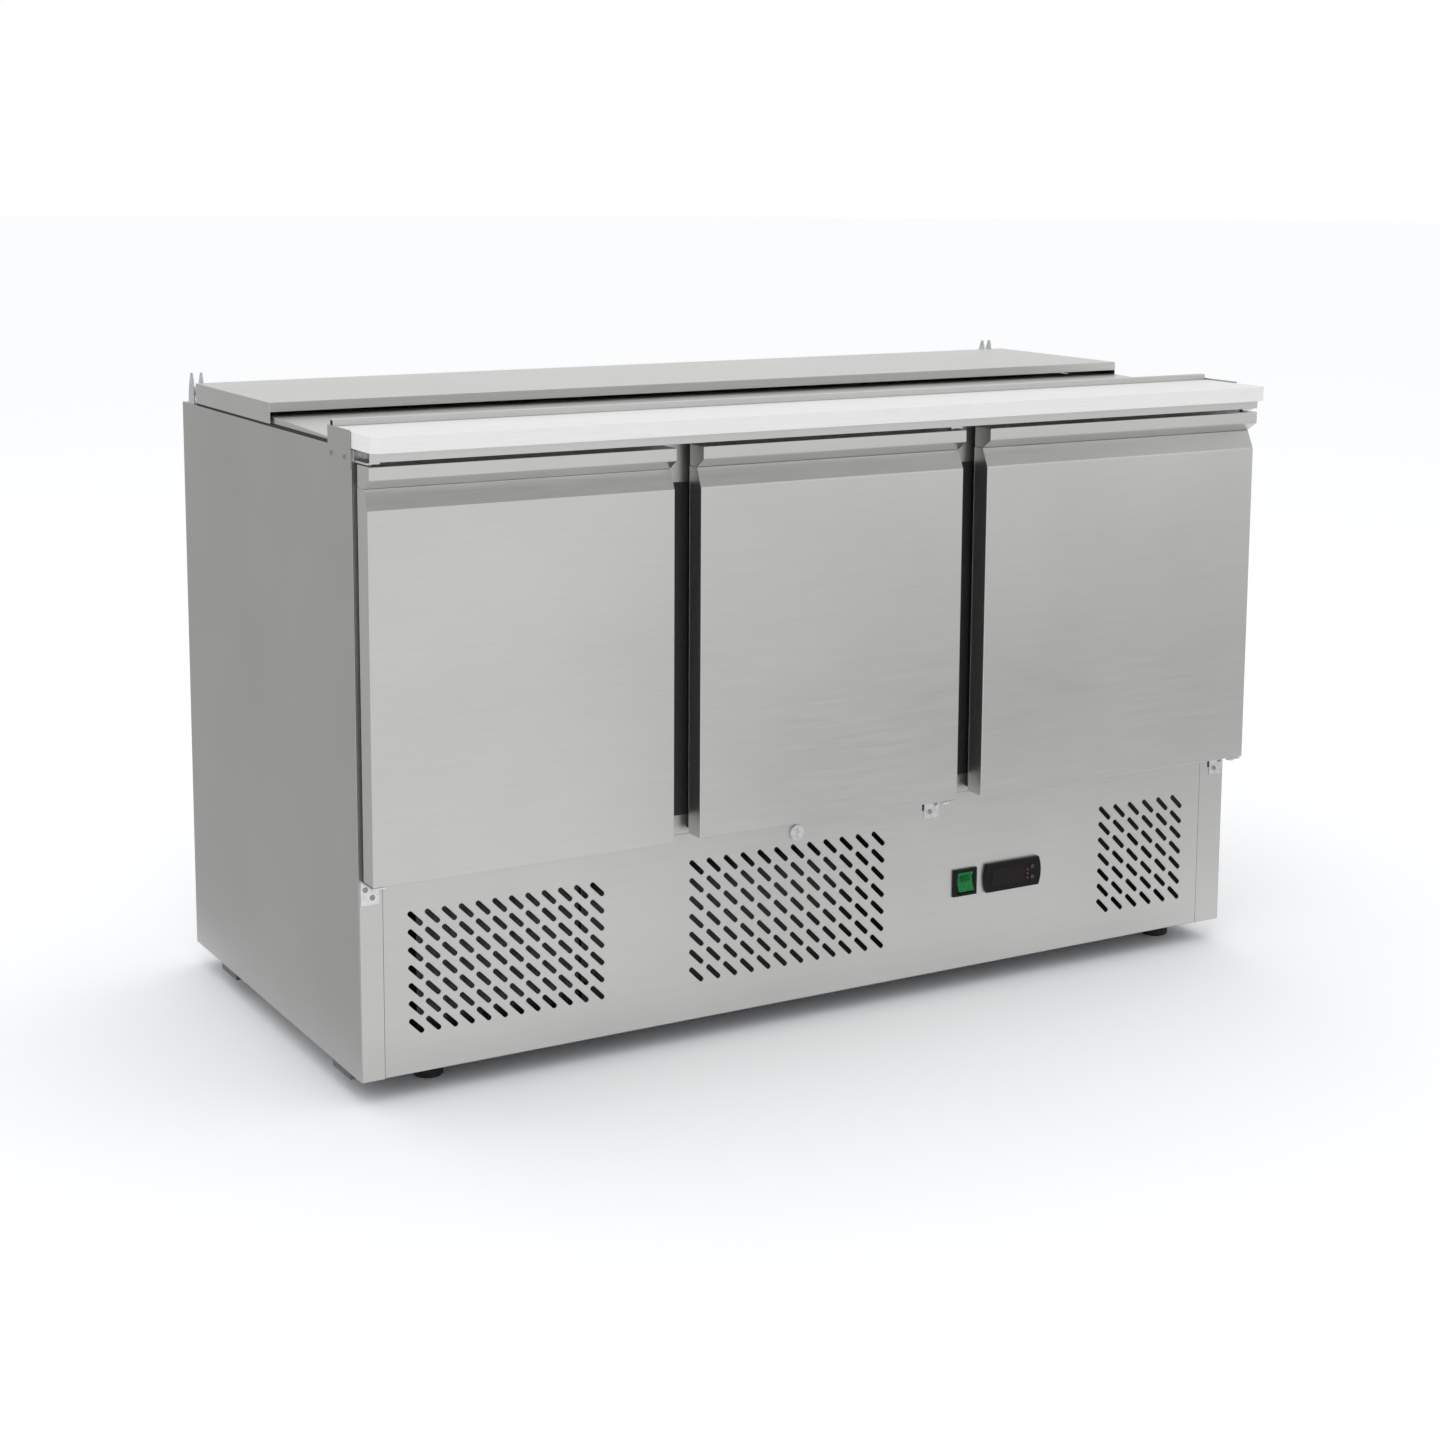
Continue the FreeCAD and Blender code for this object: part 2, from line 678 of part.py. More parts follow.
def fixing_screws():
    """Button-head screws of the hinge plates and the tray end plates."""
    screws = []
    head_radius, head_height = 3.5, 1.5
    for start, end, side in DOORS.values():
        x = hinge_x(start, end, side)
        turn = 1.0 if side == "left" else -1.0
        for shift, drop in ((-3.0, 10.0), (6.0, 21.0)):
            at = (x + turn * shift, FRONT - D.sheet - head_height, D.panel_top - drop)
            screws.append(rod("Y", at, head_radius, head_height))
    for side in (-1.0, 1.0):
        for back in (19.0, 61.0):
            near = HALF + D.sheet
            x = near if side > 0 else -near - head_height
            at = (x, FRONT + back, TOP - 10.0)
            screws.append(rod("X", at, head_radius, head_height))
    node("fixing_screws", separate(*screws))


# ------------------------------------------------------------------ controls

def controls():
    """Rocker switch, controller with two keys, and the quarter-turn panel lock."""
    x, z = D.switch_centre, D.control_height
    rim = block((x - 19.8, x + 19.8), (FRONT - 3.5, FRONT), (z - 19.3, z + 19.3))
    sleeve = block((x - 16.5, x + 16.5), (FRONT, FRONT + 20.0), (z - 16.2, z + 16.2))
    window = block((x - 13.2, x + 13.2), (FRONT - 5.0, FRONT + 22.0), (z - 15.0, z + 15.0))
    node("switch_bezel", cut(fused(rim, sleeve), window))
    half = 13.2
    outline = [(-8.5, -half), (-5.5, -6.0), (-5.0, 1e-3), (-5.5, 6.0), (-8.5, half),
               (1.0, half), (6.0, 6.0), (6.0, -6.0), (1.0, -half)]
    rocker = extruded_x((-12.5, 12.5), outline)
    pin_half, pin_radius = 13.1, 1.6
    pin = rod("X", (-pin_half, 0.0, 0.0), pin_radius, pin_half * 2)
    holder = separate(fused(rocker, pin))
    holder.Placement = Placement(Vector(), Rotation(Vector(1, 0, 0), -8.0))
    node("rocker_switch", place(holder, x, FRONT + 3.0, z))

    face, level = FRONT.value, D.control_height.value
    left, right, half_height, bulge = 253.0, 342.4, 20.7, 4.0
    corners = [Vector(left, 0, half_height), Vector(right, 0, half_height),
               Vector(right, 0, -half_height), Vector(left, 0, -half_height)]
    outline = Part.Wire([
        Part.LineSegment(corners[0], corners[1]).toShape(),
        Part.Arc(corners[1], Vector(right + bulge, 0, 0), corners[2]).toShape(),
        Part.LineSegment(corners[2], corners[3]).toShape(),
        Part.Arc(corners[3], Vector(left - bulge, 0, 0), corners[0]).toShape(),
    ])
    front = Part.Face(outline).extrude(Vector(0, 5.0, 0))
    front.translate(Vector(0, face - 5.0, level))
    rear = Part.makeBox(86.0, 45.0, 33.0, Vector(254.5, face, level - 16.5))
    case = front.fuse(rear).removeSplitter()
    for step in (-0.5, 0.5):
        z_key = level + step * D.key_spacing.value
        socket = Part.makeCylinder(D.key_radius.value + 0.3, 6.0,
                                   Vector(D.key_column.value, face - 6.0, z_key), Vector(0, 1, 0))
        case = case.cut(socket)
    fixed("controller_case", case)
    for name, step in (("down", -0.5), ("up", 0.5)):
        at = (D.key_column, FRONT - 5.8, D.control_height + step * D.key_spacing)
        node(f"controller_key_{name}", rod("Y", at, D.key_radius, 4.3))

    shank = D.lock_shank_radius
    outline = [(0, -3.0), (10.5, -3.0), (10.5, -0.2), (shank, -0.2), (shank, 9.0),
               (9.0, 9.0), (9.0, 11.0), (0, 11.0)]
    head = turned("Y", (D.lock_centre, FRONT, D.lock_height), outline)
    slot = block((D.lock_centre - 0.9, D.lock_centre + 0.9), (FRONT - 4.0, FRONT - 1.6),
                 (D.lock_height - 8.0, D.lock_height + 8.0))
    node("panel_lock", cut(head, slot))


# ------------------------------------------------------------------ inside the cold box

def shelves():
    """Wire shelves and the rails that carry them."""
    back_limit = COLD_BACK
    rail_z = (D.shelf_height - D.sheet, D.shelf_height)
    rail_y = (FRONT + 40.0, back_limit)
    rails = []
    for side in (-1.0, 1.0):
        seat = block(span(side, INNER - 15.0, INNER), rail_y, rail_z)
        leaf = block(span(side, INNER - D.sheet, INNER), rail_y,
                     (D.shelf_height - 18.0, D.shelf_height))
        rails.append(fused(seat, leaf))
    for centre in (GAP_LEFT, GAP_RIGHT):
        seat = block((centre - 15.0, centre + 15.0), rail_y, rail_z)
        web = block((centre - 1.0, centre + 1.0), rail_y,
                    (D.shelf_height - 20.0, D.shelf_height))
        rails.append(fused(seat, web))
    node("shelf_rails", separate(*rails))

    radius = D.shelf_wire_radius
    level = D.shelf_height + radius
    spans = {
        "left": (-INNER + 7.5, GAP_LEFT - 8.0, COLD_BACK - 8.0),
        "middle": (GAP_LEFT + 8.0, GAP_RIGHT - 8.0, COLD_BACK - 84.0),
        "right": (GAP_RIGHT + 8.0, INNER - 7.5, COLD_BACK - 8.0),
    }
    for name, (low, high, rear) in spans.items():
        near = FRONT + 48.0
        wires = [rod("Y", (x, near, level), radius, rear - near) for x in (low, high)]
        wires += [rod("X", (low, y, level), radius, high - low) for y in (near, rear)]
        inner_count = 11
        for index in range(1, inner_count + 1):
            x = low + (high - low) * (index / (inner_count + 1))
            wires.append(rod("Y", (x, near, level + 4.0), 2.0, rear - near))
        wires.append(rod("X", (low, (near + rear) / 2, level), radius, high - low))
        node(f"shelf_{name}", fused(*wires))


def evaporator():
    """Cold coil behind a cover, with its fan motor."""
    x, z = D.evaporator_centre, D.evaporator_height
    low = D.shelf_height - 120.0
    shell = block((x - 150.0, x + 150.0), (COLD_BACK - 74.0, COLD_BACK), (low, low + 230.0))
    gauge = 1.0
    inside = block((x - 150.0 + gauge, x + 150.0 - gauge), (COLD_BACK - 74.0 + gauge, COLD_BACK + 1.0),
                   (low + gauge, low + 230.0 - gauge))
    mouth = rod("Y", (x, COLD_BACK - 76.0, z), 62.0, 6.0)
    node("evaporator_cover", cut(shell, inside, mouth))
    node("evaporator_coil", block((x - 135.0, x + 135.0), (COLD_BACK - 34.0, COLD_BACK - 4.0),
                                  (low + 10.0, low + 220.0)))
    motor = rod("Y", (x, COLD_BACK - 50.0, z), 26.0, 16.0)
    shaft = rod("Y", (x, COLD_BACK - 67.0, z), D.fan_shaft_radius, 17.0)
    node("evaporator_motor", fused(motor, shaft))


# ------------------------------------------------------------------ machine space

def fan(label, centre, hub_radius, tip_radius, chord, width):
    """Axial fan turning about Y, with twisted flat blades."""
    x, y, z = (size.value if isinstance(size, Size) else size for size in centre)
    hub = Part.makeCylinder(hub_radius, width, Vector(0, -width / 2, 0), Vector(0, 1, 0))
    wheel = hub
    blade_count = 5
    for index in range(blade_count):
        blade = Part.makeBox(tip_radius - hub_radius + 3.0, 1.6, chord,
                             Vector(hub_radius - 3.0, -0.8, -chord / 2))
        blade.rotate(Vector(), Vector(1, 0, 0), 62.0)
        blade.rotate(Vector(), Vector(0, 1, 0), index * 360.0 / blade_count)
        wheel = wheel.fuse(blade)
    bore = D.fan_shaft_radius.value + D.running_clearance.value
    wheel = wheel.cut(Part.makeCylinder(bore, width * 2, Vector(0, -width, 0), Vector(0, 1, 0)))
    fixed(label, wheel.removeSplitter())
    NODES[label].Placement = Placement(Vector(x, y, z), Rotation())


def condensing_unit():
    """Compressor, condenser coil, fan shroud and the two fans."""
    floor = BOTTOM + D.sheet
    x, z = D.fan_axis_left, D.fan_axis_height
    core = block((x - 115.0, x + 115.0), (FRONT + 19.0, FRONT + 62.0), (z - 82.0, z + 82.0))
    legs = [
        block((x + side * 100.0 - 10.0, x + side * 100.0 + 10.0), (FRONT + 25.0, FRONT + 56.0),
              (floor, z - 82.0))
        for side in (-1.0, 1.0)
    ]
    node("condenser", fused(core, *legs))
    plate = block((x - 115.0, x + 115.0), (FRONT + 62.0, FRONT + 66.0), (z - 82.0, z + 82.0))
    mouth = rod("Y", (x, FRONT + 60.0, z), 80.0, 8.0)
    motor = rod("Y", (x, FRONT + 104.0, z), 40.0, 40.0)
    bars = []
    for side in (-1.0, 1.0):
        for lift in (-1.0, 1.0):
            bars.append(block((x + side * 88.0 - 4.0, x + side * 88.0 + 4.0),
                              (FRONT + 66.0, FRONT + 124.0),
                              (z + lift * 16.0 - 4.0, z + lift * 16.0 + 4.0)))
            bars.append(block((x - 92.0, x + 92.0), (FRONT + 116.0, FRONT + 124.0),
                              (z + lift * 16.0 - 4.0, z + lift * 16.0 + 4.0)))
    shaft = rod("Y", (x, FRONT + 76.0, z), D.fan_shaft_radius, 30.0)
    node("fan_shroud", fused(cut(plate, mouth), motor, shaft, *bars))
    fan("condenser_fan", (x, FRONT + 84.0, z), 18.0, 74.0, 44.0, 16.0)
    fan("evaporator_fan", (D.evaporator_centre, COLD_BACK - 62.0, D.evaporator_height),
        14.0, 57.0, 22.0, 10.0)

    centre = (x, Size.of(20.0), floor)
    outline = [(0, 14), (58, 14), (74, 30), (76, 95), (72, 130), (52, 158), (18, 170), (0, 170)]
    shell = turned("Z", centre, outline)
    base = block((x - 95.0, x + 95.0), (-50.0, 90.0), (floor + 12.0, floor + 15.0))
    mounts = [
        rod("Z", (x + side * 82.0, 20.0 + row * 58.0, floor), 9.0, 12.0)
        for side in (-1.0, 1.0) for row in (-1.0, 1.0)
    ]
    node("compressor", fused(shell, base, *mounts))


def write_parts():
    """Check every object, then write one STEP file for each node."""
    doc.recompute()
    failed = [item.Name for item in doc.Objects if {"Invalid", "Error"} & set(item.State)]
    if failed:
        raise RuntimeError(f"objects failed to build: {failed}")
    for label, piece in NODES.items():
        shape = piece.Shape
        if shape.isNull() or not shape.isValid() or not shape.Solids:
            raise RuntimeError(f"bad shape: {label}")
    os.makedirs("parts", exist_ok=True)
    for label, piece in NODES.items():
        piece.Shape.exportStep(f"parts/{label}.step")
        print(f"{label}: {len(piece.Shape.Solids)} solid(s), {piece.Shape.Volume / 1000:.1f} cm3")
    print(f"{len(NODES)} nodes")


cabinet_shell()
front_frame()
machine_base()
feet()
service_panel()
back_panel()
power_gland()
well()
board_tray()
cutting_board()
lid()
lid_posts()
doors()
hinges()
fixing_screws()
controls()
shelves()
evaporator()
condensing_unit()
write_parts()
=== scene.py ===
"""Looks of a refrigerated sandwich prep table: finishes, small parts, camera and light."""

import json
import logging
import math
from dataclasses import dataclass, field
from enum import Enum
from typing import Callable, Iterable

import bmesh
import bpy
from mathutils import Matrix, Vector

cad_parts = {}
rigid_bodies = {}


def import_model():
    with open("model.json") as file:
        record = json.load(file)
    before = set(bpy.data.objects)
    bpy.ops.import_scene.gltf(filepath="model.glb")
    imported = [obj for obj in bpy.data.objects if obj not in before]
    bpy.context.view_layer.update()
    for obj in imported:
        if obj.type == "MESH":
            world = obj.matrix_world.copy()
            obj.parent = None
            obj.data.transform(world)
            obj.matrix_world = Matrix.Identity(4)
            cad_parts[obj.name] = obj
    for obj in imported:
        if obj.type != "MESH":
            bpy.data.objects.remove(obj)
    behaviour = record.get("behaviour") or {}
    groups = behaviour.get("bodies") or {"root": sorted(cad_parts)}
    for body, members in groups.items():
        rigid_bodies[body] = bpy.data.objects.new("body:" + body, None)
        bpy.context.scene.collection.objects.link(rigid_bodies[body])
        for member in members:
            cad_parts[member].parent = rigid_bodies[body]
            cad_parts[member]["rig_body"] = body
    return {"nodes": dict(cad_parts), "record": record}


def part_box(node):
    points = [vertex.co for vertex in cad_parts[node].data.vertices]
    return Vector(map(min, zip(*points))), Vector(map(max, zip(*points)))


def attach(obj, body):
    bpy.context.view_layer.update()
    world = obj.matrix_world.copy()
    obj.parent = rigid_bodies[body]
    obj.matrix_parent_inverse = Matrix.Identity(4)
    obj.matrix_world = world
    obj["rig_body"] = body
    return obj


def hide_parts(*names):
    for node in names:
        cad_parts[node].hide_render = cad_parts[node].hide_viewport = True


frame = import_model()

LOG = logging.getLogger("prep_table")
MM = 0.001
Box = tuple[Vector, Vector]
Point = tuple[float, float, float]


# ------------------------------------------------------------------ node helpers

def linear(code: str) -> tuple[float, float, float, float]:
    """Turn an sRGB hex colour to linear RGBA.

    Args:
        code: six hex digits, such as "c8c8c6".

    Returns:
        Linear red, green, blue and an alpha of one.
    """
    def channel(text: str) -> float:
        """One channel from sRGB to linear."""
        value = int(text, 16) / 255.0
        return value / 12.92 if value <= 0.04045 else ((value + 0.055) / 1.055) ** 2.4

    return (channel(code[0:2]), channel(code[2:4]), channel(code[4:6]), 1.0)


def add(tree: bpy.types.NodeTree, kind: str, settings: dict | None = None,
        links: dict | None = None) -> bpy.types.Node:
    """Add one node with its settings and links.

    Args:
        tree: the node tree that takes the node.
        kind: the node's type name.
        settings: attribute or input values, by attribute name, input name or input index.
        links: output sockets that feed inputs, by input name or index.

    Returns:
        The new node.
    """
    made = tree.nodes.new(kind)
    for key, value in (settings or {}).items():
        if isinstance(key, str) and hasattr(made, key):
            setattr(made, key, value)
        else:
            made.inputs[key].default_value = value
    for key, output in (links or {}).items():
        tree.links.new(output, made.inputs[key])
    return made


# ------------------------------------------------------------------ finishes

class Grain(Enum):
    """Direction of the brushing on a steel sheet, as stretch factors on X, Y and Z."""

    ALONG_X = (0.02, 1.0, 1.0)
    ALONG_Z = (1.0, 1.0, 0.02)


def start_material(name: str) -> tuple[bpy.types.Material, bpy.types.NodeTree, bpy.types.Node]:
    """Make an empty node material.

    Args:
        name: the material's name.

    Returns:
        The material, its tree and its Principled shader, already wired to the output.
    """
    material = bpy.data.materials.new(name)
    material.use_nodes = True
    tree = material.node_tree
    tree.nodes.clear()
    shader = add(tree, "ShaderNodeBsdfPrincipled")
    add(tree, "ShaderNodeOutputMaterial", links={"Surface": shader.outputs["BSDF"]})
    return material, tree, shader


def object_pattern(tree: bpy.types.NodeTree, size_mm: float, stretch: Point,
                   detail: float) -> bpy.types.Node:
    """A noise pattern in the object's own coordinates.

    Args:
        tree: the tree that takes it.
        size_mm: size of one feature in millimetres.
        stretch: factors on X, Y and Z; a small one draws the pattern out that way.
        detail: octaves of finer noise.

    Returns:
        The noise node.
    """
    place = add(tree, "ShaderNodeTexCoord")
    mapping = add(tree, "ShaderNodeMapping", {"Scale": stretch},
                  {"Vector": place.outputs["Object"]})
    return add(tree, "ShaderNodeTexNoise",
               {"Scale": 1.0 / (size_mm * MM), "Detail": detail, "Roughness": 0.55},
               {"Vector": mapping.outputs["Vector"]})


def ranged(tree: bpy.types.NodeTree, source: bpy.types.NodeSocket, low: float,
           high: float) -> bpy.types.NodeSocket:
    """Map a zero-to-one pattern to a range.

    Args:
        tree: the tree that takes the node.
        source: the pattern's output.
        low: value where the pattern is dark.
        high: value where it is bright.

    Returns:
        The mapped output.
    """
    made = add(tree, "ShaderNodeMapRange",
               {"From Min": 0.3, "From Max": 0.7, "To Min": low, "To Max": high},
               {"Value": source})
    return made.outputs["Result"]


def toned(tree: bpy.types.NodeTree, factor: bpy.types.NodeSocket, first: str,
          second: str) -> bpy.types.NodeSocket:
    """Blend two sRGB hex colours by a pattern and return the colour output."""
    made = add(tree, "ShaderNodeMix", {"data_type": "RGBA"})
    made.inputs[6].default_value = linear(first)
    made.inputs[7].default_value = linear(second)
    tree.links.new(factor, made.inputs[0])
    return made.outputs[2]


def bumped(tree: bpy.types.NodeTree, shader: bpy.types.Node, height: bpy.types.NodeSocket,
           depth_mm: float, strength: float) -> None:
    """Give a shader a bump from a height pattern of a real depth in millimetres."""
    bump = add(tree, "ShaderNodeBump", {"Strength": strength, "Distance": depth_mm * MM},
               {"Height": height})
    tree.links.new(bump.outputs["Normal"], shader.inputs["Normal"])


@dataclass(frozen=True)
class BrushedStainless:
    """Austenitic sheet polished with a fine belt: long hair lines and slow tone changes."""

    name: str
    light: str = "cfcfcd"
    dark: str = "c2c2c1"
    grain: Grain = Grain.ALONG_X
    roughness: float = 0.34
    streak_mm: float = 1.6
    cloud_mm: float = 260.0

    def build(self) -> bpy.types.Material:
        """Build the material.

        Returns:
            A metal whose roughness and bump follow the hair lines, so its gloss is streaked.
        """
        material, tree, shader = start_material(self.name)
        streaks = object_pattern(tree, self.streak_mm, self.grain.value, 5.0)
        clouds = object_pattern(tree, self.cloud_mm, (1.0, 1.0, 1.0), 2.0)
        both = add(tree, "ShaderNodeMath", {"operation": "ADD"},
                   {0: streaks.outputs["Fac"], 1: clouds.outputs["Fac"]})
        half = add(tree, "ShaderNodeMath", {"operation": "MULTIPLY", 1: 0.5},
                   {0: both.outputs[0]})
        factor = ranged(tree, half.outputs[0], 0.0, 1.0)
        tree.links.new(toned(tree, factor, self.dark, self.light), shader.inputs["Base Color"])
        tree.links.new(ranged(tree, streaks.outputs["Fac"], self.roughness - 0.04,
                              self.roughness + 0.05), shader.inputs["Roughness"])
        shader.inputs["Metallic"].default_value = 1.0
        bumped(tree, shader, streaks.outputs["Fac"], 0.02, 0.12)
        return material


@dataclass(frozen=True)
class PlatedSteel:
    """Zinc or nickel plating on pressed steel: bright, with small bluish and dull patches."""

    name: str
    light: str = "e2e3e5"
    dark: str = "cfd1d3"
    roughness: float = 0.22
    patch_mm: float = 7.0

    def build(self) -> bpy.types.Material:
        """Build the material.

        Returns:
            A bright metal with mottled roughness.
        """
        material, tree, shader = start_material(self.name)
        patches = object_pattern(tree, self.patch_mm, (1.0, 1.0, 1.0), 3.0)
        factor = ranged(tree, patches.outputs["Fac"], 0.0, 1.0)
        tree.links.new(toned(tree, factor, self.dark, self.light), shader.inputs["Base Color"])
        tree.links.new(ranged(tree, patches.outputs["Fac"], self.roughness,
                              self.roughness + 0.16), shader.inputs["Roughness"])
        shader.inputs["Metallic"].default_value = 1.0
        bumped(tree, shader, patches.outputs["Fac"], 0.02, 0.1)
        return material


@dataclass(frozen=True)
class MouldedPlastic:
    """Injection-moulded or extruded plastic: a soft grain and a faint change of tone."""

    name: str
    light: str
    dark: str
    roughness: float = 0.45
    grain_mm: float = 1.2
    stretch: Point = (1.0, 1.0, 1.0)
    depth_mm: float = 0.03
    coat: float = 0.0
    glow: float = 0.0
    shine: float = 0.5

    def build(self) -> bpy.types.Material:
        """Build the material.

        Returns:
            A dielectric with moulded grain, optionally lacquered or lit from behind.
        """
        material, tree, shader = start_material(self.name)
        grain = object_pattern(tree, self.grain_mm, self.stretch, 3.0)
        factor = ranged(tree, grain.outputs["Fac"], 0.0, 1.0)
        tone = toned(tree, factor, self.dark, self.light)
        tree.links.new(tone, shader.inputs["Base Color"])
        tree.links.new(ranged(tree, grain.outputs["Fac"], self.roughness - 0.05,
                              self.roughness + 0.06), shader.inputs["Roughness"])
        shader.inputs["Coat Weight"].default_value = self.coat
        shader.inputs["Specular IOR Level"].default_value = self.shine
        if self.glow:
            shader.inputs["Emission Color"].default_value = linear(self.light)
            shader.inputs["Emission Strength"].default_value = self.glow
        bumped(tree, shader, grain.outputs["Fac"], self.depth_mm, 0.3)
        return material


@dataclass(frozen=True)
class CuttingPlastic:
    """High-density polyethylene board: waxy white with fine knife scratches both ways."""

    name: str = "polyethylene_board"
    light: str = "e2e2e0"
    dark: str = "d9d9d7"
    scratch_mm: float = 2.2

    def build(self) -> bpy.types.Material:
        """Build the material.

        Returns:
            A waxy dielectric whose bump joins two crossed sets of scratches.
        """
        material, tree, shader = start_material(self.name)
        along = object_pattern(tree, self.scratch_mm, (0.03, 1.0, 1.0), 4.0)
        across = object_pattern(tree, self.scratch_mm, (1.0, 0.05, 1.0), 4.0)
        both = add(tree, "ShaderNodeMath", {"operation": "ADD"},
                   {0: along.outputs["Fac"], 1: across.outputs["Fac"]})
        half = add(tree, "ShaderNodeMath", {"operation": "MULTIPLY", 1: 0.5},
                   {0: both.outputs[0]})
        factor = ranged(tree, half.outputs[0], 0.0, 1.0)
        tree.links.new(toned(tree, factor, self.dark, self.light), shader.inputs["Base Color"])
        tree.links.new(ranged(tree, along.outputs["Fac"], 0.38, 0.52), shader.inputs["Roughness"])
        shader.inputs["Subsurface Weight"].default_value = 0.12
        shader.inputs["Subsurface Scale"].default_value = 0.004
        bumped(tree, shader, half.outputs[0], 0.06, 0.25)
        return material


class Shop(Enum):
    """Every finish on the table."""

    # Side sheet: the upright grain is its own, but its base colour, darker than the front sheet's,
    # is painted shade on the sideways-facing sheets.
    SIDE_SHEET_SHADED = BrushedStainless("stainless_side_sheet_painted_shade", "c2c2c0", "b7b7b6", Grain.ALONG_Z, 0.42)
    FRONT_SHEET = BrushedStainless("stainless_front_sheet", "cdcdcb", "c2c2c0", Grain.ALONG_X, 0.38)
    DOOR_SHEET = BrushedStainless("stainless_door_sheet", "cfcfcd", "c5c5c3", Grain.ALONG_X, 0.36)
    TOP_SHEET = BrushedStainless("stainless_top_sheet", "cfcfcd", "c6c6c4", Grain.ALONG_X, 0.38)
    INNER_SHEET = BrushedStainless("stainless_liner_sheet", "c6c7c7", "b4b5b6", Grain.ALONG_Z, 0.3)
    ZINC_SHEET = PlatedSteel("galvanised_sheet", "7d8083", "5a5d60", 0.42, 9.0)
    BRIGHT_ZINC = PlatedSteel("bright_zinc_plate")
    SCREW = PlatedSteel("nickel_plated_screw", "b9babc", "8e9093", 0.28, 2.5)
    COPPER = PlatedSteel("copper_tube", "d08a63", "9c5a3c", 0.3, 6.0)
    FINS = PlatedSteel("aluminium_fin", "d4d5d7", "b2b4b7", 0.34, 4.0)
    BOARD = CuttingPlastic()
    SEAL = MouldedPlastic("black_vinyl_seal", "161617", "0c0c0d", 0.55, 1.5)
    FOOT = MouldedPlastic("black_nylon_foot", "1d1d1f", "121213", 0.5, 1.0)
    POST = MouldedPlastic("dark_vinyl_post_face", "2a2a2b", "1c1c1d", 0.5, 2.5)
    ABS_BLACK = MouldedPlastic("gloss_black_abs", "121214", "0a0a0b", 0.3, 0.9, depth_mm=0.01,
                               shine=0.16)
    ABS_WHITE = MouldedPlastic("white_abs_door_lining", "e9e9e7", "dfdfdc", 0.4, 2.0)
    # Painted shade: a near-black colour that stands for the shade inside narrow slots.
    SLOT_SHADE = MouldedPlastic("painted_slot_shade", "0d0d0e", "050505", 0.8, 1.0)
    ROCKER = MouldedPlastic("green_acrylic_rocker", "0f7a3c", "075022", 0.3, 3.0,
                            depth_mm=0.01, shine=0.25, glow=0.08)
    LENS = MouldedPlastic("smoked_acrylic_lens", "12090a", "0a0404", 0.15, 2.0,
                          depth_mm=0.005, shine=0.22)
    LAMP = MouldedPlastic("red_indicator_lens", "b0261e", "7a1510", 0.3, 1.0, glow=0.2)
    KEY = MouldedPlastic("grey_key_cap", "3a3a3d", "2c2c2f", 0.5, 0.8)
    WIRE = MouldedPlastic("white_plastic_coated_wire", "eeeeea", "dcdcd7", 0.35, 3.0, coat=0.2)
    FOAM = MouldedPlastic("polyurethane_foam", "e3d3a0", "cdb980", 0.9, 2.0, depth_mm=0.5)
    ENAMEL = MouldedPlastic("black_stove_enamel", "1b1b1d", "101011", 0.35, 2.5, coat=0.3)
    FAN = MouldedPlastic("black_fan_polymer", "232325", "171718", 0.5, 1.5)


class Paint:
    """Builds each finish once and puts it on pieces."""

    made: dict[Shop, bpy.types.Material] = {}

    @classmethod
    def of(cls, finish: Shop) -> bpy.types.Material:
        """The material of a finish, built when first asked for."""
        if finish not in cls.made:
            cls.made[finish] = finish.value.build()
        return cls.made[finish]

    @classmethod
    def dress(cls, piece: bpy.types.Object, finish: Shop) -> None:
        """Put a finish on every slot of a piece.

        Args:
            piece: a mesh object.
            finish: the finish that it gets.
        """
        if not piece.material_slots:
            piece.data.materials.append(cls.of(finish))
        for slot in piece.material_slots:
            slot.material = cls.of(finish)


# ------------------------------------------------------------------ mesh helpers

def finish_piece(name: str, bm: bmesh.types.BMesh, body: str, finish: Shop) -> bpy.types.Object:
    """Turn a bmesh into a finished piece that rides on a body.

    Args:
        name: the piece's name.
        bm: its mesh, freed here.
        body: the body that carries it.
        finish: its finish.

    Returns:
        The new object.
    """
    bmesh.ops.recalc_face_normals(bm, faces=bm.faces)
    mesh = bpy.data.meshes.new(name)
    bm.to_mesh(mesh)
    bm.free()
    piece = bpy.data.objects.new(name, mesh)
    bpy.context.scene.collection.objects.link(piece)
    Paint.dress(piece, finish)
    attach(piece, body)
    LOG.info("%s: %d faces on %s", name, len(mesh.polygons), body)
    return piece


def add_block(bm: bmesh.types.BMesh, low: Iterable[float], high: Iterable[float]) -> list:
    """Add a box between two corners and return its vertices."""
    low, high = Vector(low), Vector(high)
    size = high - low
    matrix = Matrix.Translation((low + high) / 2) @ Matrix.Diagonal((*size, 1.0))
    return bmesh.ops.create_cube(bm, size=1.0, matrix=matrix)["verts"]


